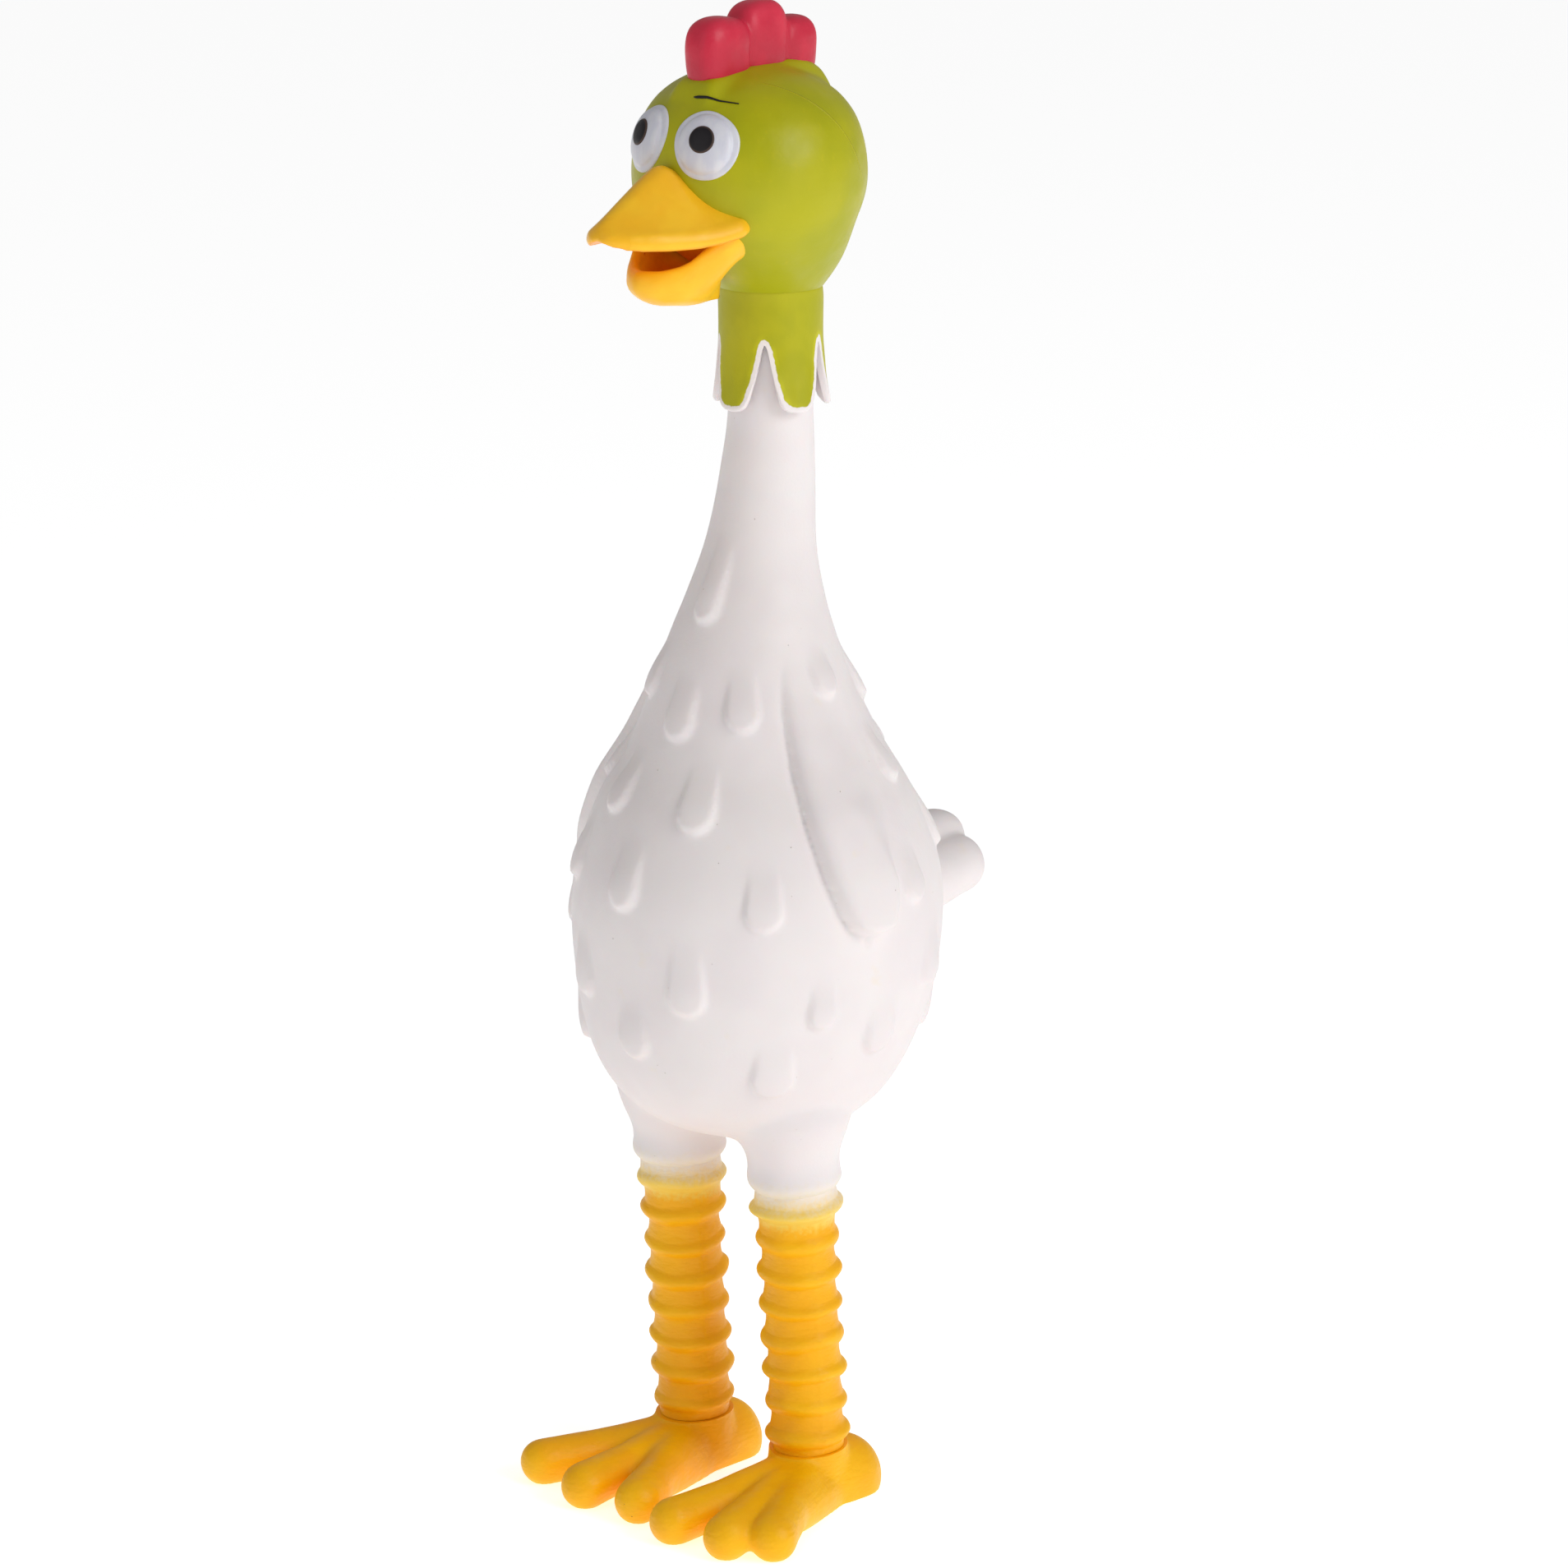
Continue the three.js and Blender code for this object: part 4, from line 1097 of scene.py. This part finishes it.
def lower_beak(sizes):
    """A scoop with a thick rounded rim that climbs to the mouth corners at both ends."""
    centre_y = -9 * MM

    def rim_at(turn):
        off = abs(turn)
        reach = np.interp(off, *np.array(LOWER_RIM)[:, :2].T) * MM
        z = np.interp(off, *np.array(LOWER_RIM)[:, ::2].T) * MM
        return float(reach), float(z)

    def place(u, v):
        turn = (2 * u - 1) * LOWER_RIM[-1][0]
        reach, rim = rim_at(turn)
        keel = float(np.interp(abs(turn), *np.array(KEEL).T)) * MM
        floor = max(280.4 * MM, keel + 2.5 * MM)
        wall_half = 1.9 * MM
        section = smooth_line(
            [
                (0, floor), (0.4 * reach, floor + 0.2 * MM), (0.68 * reach, floor + 0.22 * (rim - floor)),
                (reach - 2.1 * wall_half, rim - 1.6 * MM), (reach - 1.7 * wall_half, rim - 0.25 * MM),
                (reach - wall_half, rim + 0.1 * MM), (reach - 0.3 * wall_half, rim - 0.5 * MM),
                (reach, rim - 2.2 * MM), (0.985 * reach, keel + 0.5 * (rim - keel)),
                (0.86 * reach, keel + 0.17 * (rim - keel)), (0.62 * reach, keel + 0.03 * (rim - keel)),
                (0.3 * reach, keel), (0, keel),
            ],
            3,
        )
        x, z = section[int(round(v * (len(section) - 1)))]
        angle = math.radians(turn)
        return (x * math.sin(angle), centre_y - x * math.cos(angle), z)

    bm = shaped(96, 36, place)
    close_rims(bm)
    bmesh.ops.recalc_face_normals(bm, faces=bm.faces)
    soften(bm, bm.verts, 2)
    make_uneven(bm, 0.2 * MM, 5 * MM, 8.8)
    return bm


def mouth_lining(sizes):
    """The painted back of the mouth, a thin skin on the face of the head between the beak halves."""
    line = as_table(head_outline(sizes, 12))
    low, high = 282.5 * MM, 297 * MM

    def place(u, v):
        outer = v < 0.5
        z = low + (high - low) * (2 * v if outer else 2 - 2 * v)
        half_turn = float(np.interp(z / MM, [282, 285, 290, 297], [8, 15, 26, 33]))
        turn = math.radians(half_turn * (2 * u - 1))
        reach = float(np.interp(z, line[:, 1], line[:, 0])) + (0.35 if outer else -0.8) * MM
        return (reach * math.sin(turn), float(along(z)) - reach * math.cos(turn), z)

    bm = shaped(40, 28, place)
    close_rims(bm)
    bmesh.ops.recalc_face_normals(bm, faces=bm.faces)
    return bm


# ------------------------------------------------------------------ tail, legs and feet


def tail(sizes):
    """Three thick lobes side by side, the middle one a little higher."""
    line = as_table(body_outline(sizes))
    root_z = BELLY_Z + 0.38 * sizes.height
    back = float(np.interp(root_z, line[:, 1], line[:, 0]))
    tilt = math.radians(8)
    lean = Vector((0, math.cos(tilt), math.sin(tilt)))
    lobes = []
    for place in (-1, 0, 1):
        root = Vector((place * 7.4 * MM, back - 8 * MM, root_z + (5 * MM if place == 0 else 0.6 * MM)))
        tip = root + lean * ((29.5 if place == 0 else 28) * MM)
        lobes.append(limb([(root, sizes.tail_radius * 1.2), (tip, sizes.tail_radius)]))
    bm = fused(lobes, 0.7 * MM, 4)
    make_uneven(bm, 0.25 * MM, 7 * MM, 2.4)
    return bm


LEG_COLUMNS = 96  # faces round a leg
ROWS_PER_RING = 18


def leg_section(sizes, side, low, rings):
    """Some of a leg's rings, in the leg's frame and then in place, with how deep each point lies."""
    start = low * RING_PITCH
    top = start + rings * RING_PITCH + (1 * MM if low + rings == LEG_RINGS else 0)

    def flare_at(z):
        return sizes.top_flare * float(smoothstep(z, LEG_LENGTH - 2 * RING_PITCH, LEG_LENGTH))

    def place(u, v):
        z = start + (top - start) * v
        angle = 2 * math.pi * u
        phase = z / RING_PITCH
        ring = math.floor(phase)
        wander = 1.1 * MM * ripple((math.cos(angle), math.sin(angle), phase * 0.9 + side * 3), 1.5, 1.9)
        fade = min(v, 1 - v, 0.1) * 10
        local = ((z + wander * fade) / RING_PITCH) % 1.0 - 0.45
        wide = 0.46 + 0.06 * math.sin(ring * 2.3 + side)
        bump = math.cos(math.pi * local / wide) if abs(local) < wide / 2 else 0.0
        band = 0.22 * MM * math.cos(2 * math.pi * (local - 0.1))
        reach = sizes.groove_radius + flare_at(z) + band
        spot = (math.cos(angle), math.sin(angle), ring)
        stand = 1 + 0.22 * math.sin(ring * 3.7 + 1.1 * side) + 0.15 * ripple(spot, 0.9, side)
        reach += (sizes.ridge_radius - sizes.groove_radius) * stand * max(bump, 0) ** 0.8
        reach += 0.2 * MM * ripple((math.cos(angle) * 2, math.sin(angle) * 2, z / MM / 4), 1.0, side)
        off = math.degrees((angle - math.radians(68) + math.pi) % math.tau - math.pi)
        seam = math.exp(-((off / 2.6) ** 2)) * (0.6 + 0.4 * math.sin(z / MM * 2.1))
        reach += 0.22 * MM * seam
        return (reach * math.sin(angle), -reach * math.cos(angle), z)

    bm = shaped(LEG_COLUMNS, rings * ROWS_PER_RING, place)
    close_rims(bm, crisp=True)
    bmesh.ops.recalc_face_normals(bm, faces=bm.faces)
    depths = []
    for vert in bm.verts:
        reach = math.hypot(vert.co.x, vert.co.y) - flare_at(vert.co.z)
        depths.append(float(smoothstep(reach, sizes.groove_radius + 0.8 * MM, sizes.groove_radius)))
    bmesh.ops.transform(bm, matrix=leg_matrix(side), verts=bm.verts)
    return bm, depths


# Toes of each foot, innermost first: degrees turned outwards, and ankle to tip.
TOES = {1: [(-5, 46.5), (16.5, 47.0), (31, 44.5)], -1: [(-25, 46.0), (-2, 43.5), (27, 42.5)]}


def foot(sizes, side):
    """Three drooping toes and a heel, run together round the ankle."""
    toe = sizes.toe_radius
    parts, tips = [], []
    for outwards, reach in TOES[side]:
        turn = side * math.radians(outwards)
        aim = Vector((math.sin(turn), -math.cos(turn), 0))
        root = aim * 3 * MM + Vector((0, 0, 6.2 * MM))
        middle = aim * (reach * 0.55 * MM) + Vector((0, 0, 5.4 * MM))
        tip = aim * (reach * MM - toe) + Vector((0, 0, toe - 0.9 * MM))
        balls = [(root, 6.4 * MM), (middle, toe * 0.94), (tip, toe)]
        parts += [limb(pair) for pair in zip(balls, balls[1:])]
        tips.append((middle + aim * 4 * MM, toe * 0.86))
    heel = Matrix.Rotation(side * math.radians(8 if side > 0 else 0), 3, "Z")
    heel_back = heel @ Vector((side * 1.5 * MM, sizes.heel_reach - 10 * MM, 2.9 * MM))
    parts.append(limb([(Vector((0, -2 * MM, 4.4 * MM)), 9.4 * MM), (heel_back, 10 * MM)], 40))
    for tip, radius in (tips[0], tips[-1]):
        parts.append(limb([(tip, radius), (heel_back + Vector((0, -5 * MM, -1 * MM)), 7.5 * MM)]))
    ankle = [(9.3 * MM, 2 * MM), (9.1 * MM, 9 * MM), (8.9 * MM, ANKLE_Z + 3 * MM)]
    parts.append(spun(smooth_line(ankle, 4), 48))
    bm = fused(parts, 0.7 * MM, 9)
    bmesh.ops.translate(bm, vec=(side * LEG_SPREAD, 0, 0), verts=bm.verts)
    leg = leg_matrix(side)
    cut(bm, leg @ Vector((0, 0, -0.1 * MM)), leg.to_3x3() @ Vector((0, 0, 1)))
    for vert in bm.verts:
        vert.co += vert.normal * (0.18 * MM * ripple(vert.co, 8 * MM, 6.0 + side))
        vert.co.z = max(vert.co.z, 0)
    return bm


# ------------------------------------------------------------------ operators


class ChickenOperator:
    """Shared by the chicken's operators."""

    bl_options = {"REGISTER", "UNDO"}


class CHICKEN_OT_skin(ChickenOperator, bpy.types.Operator):
    """Build the white body with its thighs, wings, feathers and lower neck"""

    bl_idname = "chicken.skin"
    bl_label = "White skin"

    def execute(self, context):
        bm = body_and_lower_neck(context.scene.chicken_body, context.scene.chicken_neck)
        skin = piece("white_skin", bm, FINISHES["white"])
        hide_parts("body_skin", "left_wing", "right_wing", "lower_neck")
        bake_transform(skin)
        return {"FINISHED"}


class CHICKEN_OT_filling(ChickenOperator, bpy.types.Operator):
    """Build the loose fibre filling inside the body and finish the squeaker in it"""

    bl_idname = "chicken.filling"
    bl_label = "Filling and squeaker"

    def execute(self, context):
        sizes = context.scene.chicken_body
        outline = [(max(r - 3.2 * MM, 0), z) for r, z in body_outline(sizes, 3) if z > BELLY_Z + 4 * MM]
        lumps = follow_middle(spun([(0, BELLY_Z + 4 * MM), *outline], 48))
        lumps = carve(lumps, squeaker_plug(SQUEAKER_HOLE + 0.3 * MM, HOLE_REACH, 2.4 * MM))
        for vert in lumps.verts:
            near_squeaker = vert.co.y > 2 * MM and vert.co.z < 116 * MM
            if not near_squeaker:
                vert.co -= vert.normal * (0.5 * MM * (1 + ripple(vert.co, 6 * MM, 9.0)))
        filling = piece("fibre_filling", lumps, FINISHES["fibre"])
        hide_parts("body_filling")
        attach(filling, "torso")
        for name in ("squeaker_housing", "squeaker_cap", "squeaker_reed"):
            node = frame["nodes"][name]
            node.data.materials.clear()
            node.data.materials.append(FINISHES["plastic"])
        return {"FINISHED"}


class CHICKEN_OT_tail(ChickenOperator, bpy.types.Operator):
    """Build the three-lobed tail"""

    bl_idname = "chicken.tail"
    bl_label = "Tail"

    def execute(self, context):
        sizes = context.scene.chicken_body
        made = piece("tail_lobes", tail(sizes), FINISHES["white"])
        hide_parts("tail")
        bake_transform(made)
        return {"FINISHED"}


class CHICKEN_OT_neck(ChickenOperator, bpy.types.Operator):
    """Build the upper neck, the green sleeve and the collar of tongues"""

    bl_idname = "chicken.neck"
    bl_label = "Neck and collar"

    def execute(self, context):
        sizes, head = context.scene.chicken_neck, context.scene.chicken_head
        neck = piece("upper_neck_skin", upper_neck(sizes), FINISHES["white"])
        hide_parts("upper_neck")
        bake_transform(neck)
        bm = collar(sizes, head)
        edges = edge_distances(bm, sizes)
        ring = piece("green_collar", bm, FINISHES["collar"], FINISHES["white"])
        remember(ring, "edge", edges)
        wall = ring.modifiers.new("Wall", "SOLIDIFY")
        wall.thickness = sizes.collar_wall
        wall.offset = -1
        wall.material_offset = 1
        wall.material_offset_rim = 1
        soft = ring.modifiers.new("Rounding", "SUBSURF")
        soft.levels = soft.render_levels = 1
        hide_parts("neck_ruff", "neck_sleeve")
        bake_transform(ring)
        return {"FINISHED"}


class CHICKEN_OT_head(ChickenOperator, bpy.types.Operator):
    """Build the green head and the red comb"""

    bl_idname = "chicken.head"
    bl_label = "Head and comb"

    def execute(self, context):
        sizes = context.scene.chicken_head
        skin = piece("green_head", head_skin(sizes), FINISHES["green"])
        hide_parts("head_skin")
        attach(skin, "head")
        crest = piece("red_comb", comb(sizes), FINISHES["red"])
        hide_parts("comb")
        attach(crest, "head")
        return {"FINISHED"}


class CHICKEN_OT_eyes(ChickenOperator, bpy.types.Operator):
    """Build the eyes, the pupils and the brow over the left eye"""

    bl_idname = "chicken.eyes"
    bl_label = "Eyes"

    def execute(self, context):
        sizes = context.scene.chicken_head
        for name, side in SIDES.items():
            white = piece(f"{name}_eye_white", eye_dome(sizes, side), FINISHES["eye"])
            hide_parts(f"{name}_eye")
            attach(white, "head")
            bm = pupil(sizes, side)
            middle = Vector(np.mean([tuple(vert.co) for vert in bm.verts], axis=0))
            rim = [min((vert.co - middle).length / sizes.pupil_radius, 1.0) for vert in bm.verts]
            dot = piece(f"{name}_pupil_dot", bm, FINISHES["black"])
            remember(dot, "rim", rim)
            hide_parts(f"{name}_pupil")
            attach(dot, "head")
        stroke = piece("left_brow", brow(sizes), FINISHES["black"])
        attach(stroke, "head")
        return {"FINISHED"}


class CHICKEN_OT_beak(ChickenOperator, bpy.types.Operator):
    """Build both halves of the beak"""

    bl_idname = "chicken.beak"
    bl_label = "Beak"

    def execute(self, context):
        sizes = context.scene.chicken_head
        bm = upper_beak(sizes)
        # The upper beak's downward faces take the mouth's deeper orange: partly paint, partly painted shade.
        roof_paint_and_shade = [float(smoothstep(-vert.normal.z, 0.5, 0.9)) for vert in bm.verts]
        upper = piece("beak_upper", bm, FINISHES["beak"])
        remember(upper, "mouth", roof_paint_and_shade)
        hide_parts("upper_beak")
        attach(upper, "head")
        lining = piece("mouth_lining", mouth_lining(sizes), FINISHES["beak"])
        # The whole lining takes the mouth's deeper orange: partly paint, partly painted shade.
        remember(lining, "mouth", [1.0] * len(lining.data.vertices))
        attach(lining, "head")
        bm = lower_beak(sizes)
        bm.normal_update()
        # The low, upward faces inside the scoop take the mouth's deeper orange: partly paint, partly painted
        # shade.
        inside = [
            float(smoothstep(vert.normal.z, 0.1, 0.7) * smoothstep(284.5 * MM - vert.co.z, 0, 2.5 * MM))
            for vert in bm.verts
        ]
        lower = piece("beak_lower", bm, FINISHES["beak"])
        remember(lower, "mouth", inside)
        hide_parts("lower_beak")
        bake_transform(lower)
        return {"FINISHED"}


class CHICKEN_OT_legs(ChickenOperator, bpy.types.Operator):
    """Build the ringed legs and the feet"""

    bl_idname = "chicken.legs"
    bl_label = "Legs and feet"

    def execute(self, context):
        sizes = context.scene.chicken_legs
        sections = [
            ("lower", 0, 2, "{}_lower_leg", "{}_foot", "{}_ankle_bend"),
            ("middle", 2, 3, "{}_upper_leg", "{}_lower_leg", "{}_knee_sway"),
            ("upper", 5, 3, "torso", "{}_upper_leg", "{}_hip_swing"),
        ]
        for name, side in SIDES.items():
            for place, low, rings, above, below, joint in sections:
                bm, depths = leg_section(sizes, side, low, rings)
                made = piece(f"{name}_{place}_rings", bm, FINISHES["yellow"])
                # How deep each point lies, which the yellow paint darkens as painted shade.
                remember(made, "groove", depths)
                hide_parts(f"{name}_{place}_bellows")
                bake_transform(made)
            made = piece(f"{name}_toes", foot(sizes, side), FINISHES["yellow"])
            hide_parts(f"{name}_foot")
            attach(made, f"{name}_foot")
        return {"FINISHED"}


FLOOR_HALF = 14  # half the floor's side
LIGHTS_AIM_Z = 0.17  # half the chicken's height
CAMERA_PLACE = Vector((886.6, -950.8, 480.0)) * MM
CAMERA_HEADING = math.radians(42.667)  # turned from +Y towards -X
CAMERA_DIP = math.radians(13.626)


class CHICKEN_OT_stage(ChickenOperator, bpy.types.Operator):
    """Set the floor, the lights and the camera"""

    bl_idname = "chicken.stage"
    bl_label = "Stage"

    def execute(self, context):
        scene = context.scene
        stage = scene.chicken_stage
        bm = bmesh.new()
        bmesh.ops.create_grid(bm, x_segments=1, y_segments=1, size=FLOOR_HALF)
        mesh = bpy.data.meshes.new("floor")
        bm.to_mesh(mesh)
        bm.free()
        floor = bpy.data.objects.new("floor", mesh)
        scene.collection.objects.link(floor)
        pale = bpy.data.materials.new("pale_floor")
        pale.use_nodes = True
        shader = pale.node_tree.nodes["Principled BSDF"]
        shader.inputs["Base Color"].default_value = (0.93, 0.93, 0.93, 1)
        shader.inputs["Roughness"].default_value = 0.9
        shader.inputs["Specular IOR Level"].default_value = 0.0
        shader.inputs["Emission Color"].default_value = (1, 1, 1, 1)
        shader.inputs["Emission Strength"].default_value = 0.64
        mesh.materials.append(pale)

        world = bpy.data.worlds.new("studio")
        world.use_nodes = True
        tree = world.node_tree
        dim, bright = tree.nodes["Background"], tree.nodes.new("ShaderNodeBackground")
        for background, strength in ((dim, stage.surround), (bright, 1.1)):
            background.inputs["Color"].default_value = (1, 1, 1, 1)
            background.inputs["Strength"].default_value = strength
        either = tree.nodes.new("ShaderNodeMixShader")
        seen = tree.nodes.new("ShaderNodeLightPath")
        tree.links.new(seen.outputs["Is Camera Ray"], either.inputs[0])
        tree.links.new(dim.outputs[0], either.inputs[1])
        tree.links.new(bright.outputs[0], either.inputs[2])
        tree.links.new(either.outputs[0], tree.nodes["World Output"].inputs["Surface"])
        scene.world = world
        scene.view_settings.view_transform = "Standard"

        def area_light(name, power, size, place):
            data = bpy.data.lights.new(name, "AREA")
            data.energy = power
            data.size = size
            lamp = bpy.data.objects.new(name, data)
            lamp.location = place
            aim = Vector((0, 0, LIGHTS_AIM_Z)) - Vector(place)
            lamp.rotation_euler = aim.to_track_quat("-Z", "Y").to_euler()
            scene.collection.objects.link(lamp)

        area_light("key", stage.key_power, 0.8, (1.4, 0.1, 0.9))
        area_light("fill", stage.fill_power, 1.2, (-0.2, -1.6, 0.9))

        data = bpy.data.cameras.new("camera")
        data.sensor_width = 36
        data.lens = stage.lens * 1000
        data.clip_start, data.clip_end = 0.05, 50
        camera = bpy.data.objects.new("camera", data)
        camera.location = CAMERA_PLACE + MIDDLE
        level = math.cos(CAMERA_DIP)
        across, ahead = -math.sin(CAMERA_HEADING) * level, math.cos(CAMERA_HEADING) * level
        aim = Vector((across, ahead, -math.sin(CAMERA_DIP)))
        camera.rotation_euler = aim.to_track_quat("-Z", "Y").to_euler()
        scene.collection.objects.link(camera)
        scene.camera = camera
        return {"FINISHED"}


STEPS = (
    CHICKEN_OT_stage, CHICKEN_OT_skin, CHICKEN_OT_filling, CHICKEN_OT_tail, CHICKEN_OT_neck,
    CHICKEN_OT_head, CHICKEN_OT_eyes, CHICKEN_OT_beak, CHICKEN_OT_legs,
)


class CHICKEN_PT_panel(bpy.types.Panel):
    """Lists the steps that build the chicken."""

    bl_idname = "CHICKEN_PT_panel"
    bl_label = "Rubber chicken"
    bl_space_type = "VIEW_3D"
    bl_region_type = "UI"
    bl_category = "Chicken"

    def draw(self, context):
        for step in STEPS:
            self.layout.operator(step.bl_idname)
        for name, group in GROUPS.items():
            box = self.layout.box()
            box.label(text=group.__doc__)
            for prop in group.__annotations__:
                box.prop(getattr(context.scene, name), prop)


GROUPS = {
    "chicken_body": ChickenBody,
    "chicken_neck": ChickenNeck,
    "chicken_head": ChickenHead,
    "chicken_legs": ChickenLegs,
    "chicken_paint": ChickenPaint,
    "chicken_stage": ChickenStage,
}
FINISHES = {}


def register():
    for name, group in GROUPS.items():
        bpy.utils.register_class(group)
        setattr(bpy.types.Scene, name, PointerProperty(type=group))
    for cls in (*STEPS, CHICKEN_PT_panel):
        bpy.utils.register_class(cls)


def unregister():
    for cls in (CHICKEN_PT_panel, *reversed(STEPS)):
        bpy.utils.unregister_class(cls)
    for name, group in GROUPS.items():
        delattr(bpy.types.Scene, name)
        bpy.utils.unregister_class(group)


def main():
    register()
    paint = bpy.context.scene.chicken_paint
    FINISHES.update(
        white=white_latex(paint), green=green_paint(paint), collar=collar_paint(paint), red=red_paint(paint),
        yellow=yellow_paint(paint), beak=beak_paint(paint), eye=eye_paint(paint), black=black_paint(paint),
        fibre=fibre(), plastic=milky_plastic(),
    )
    for step in STEPS:
        group, name = step.bl_idname.split(".")
        getattr(getattr(bpy.ops, group), name)()


if __name__ == "__main__":
    main()
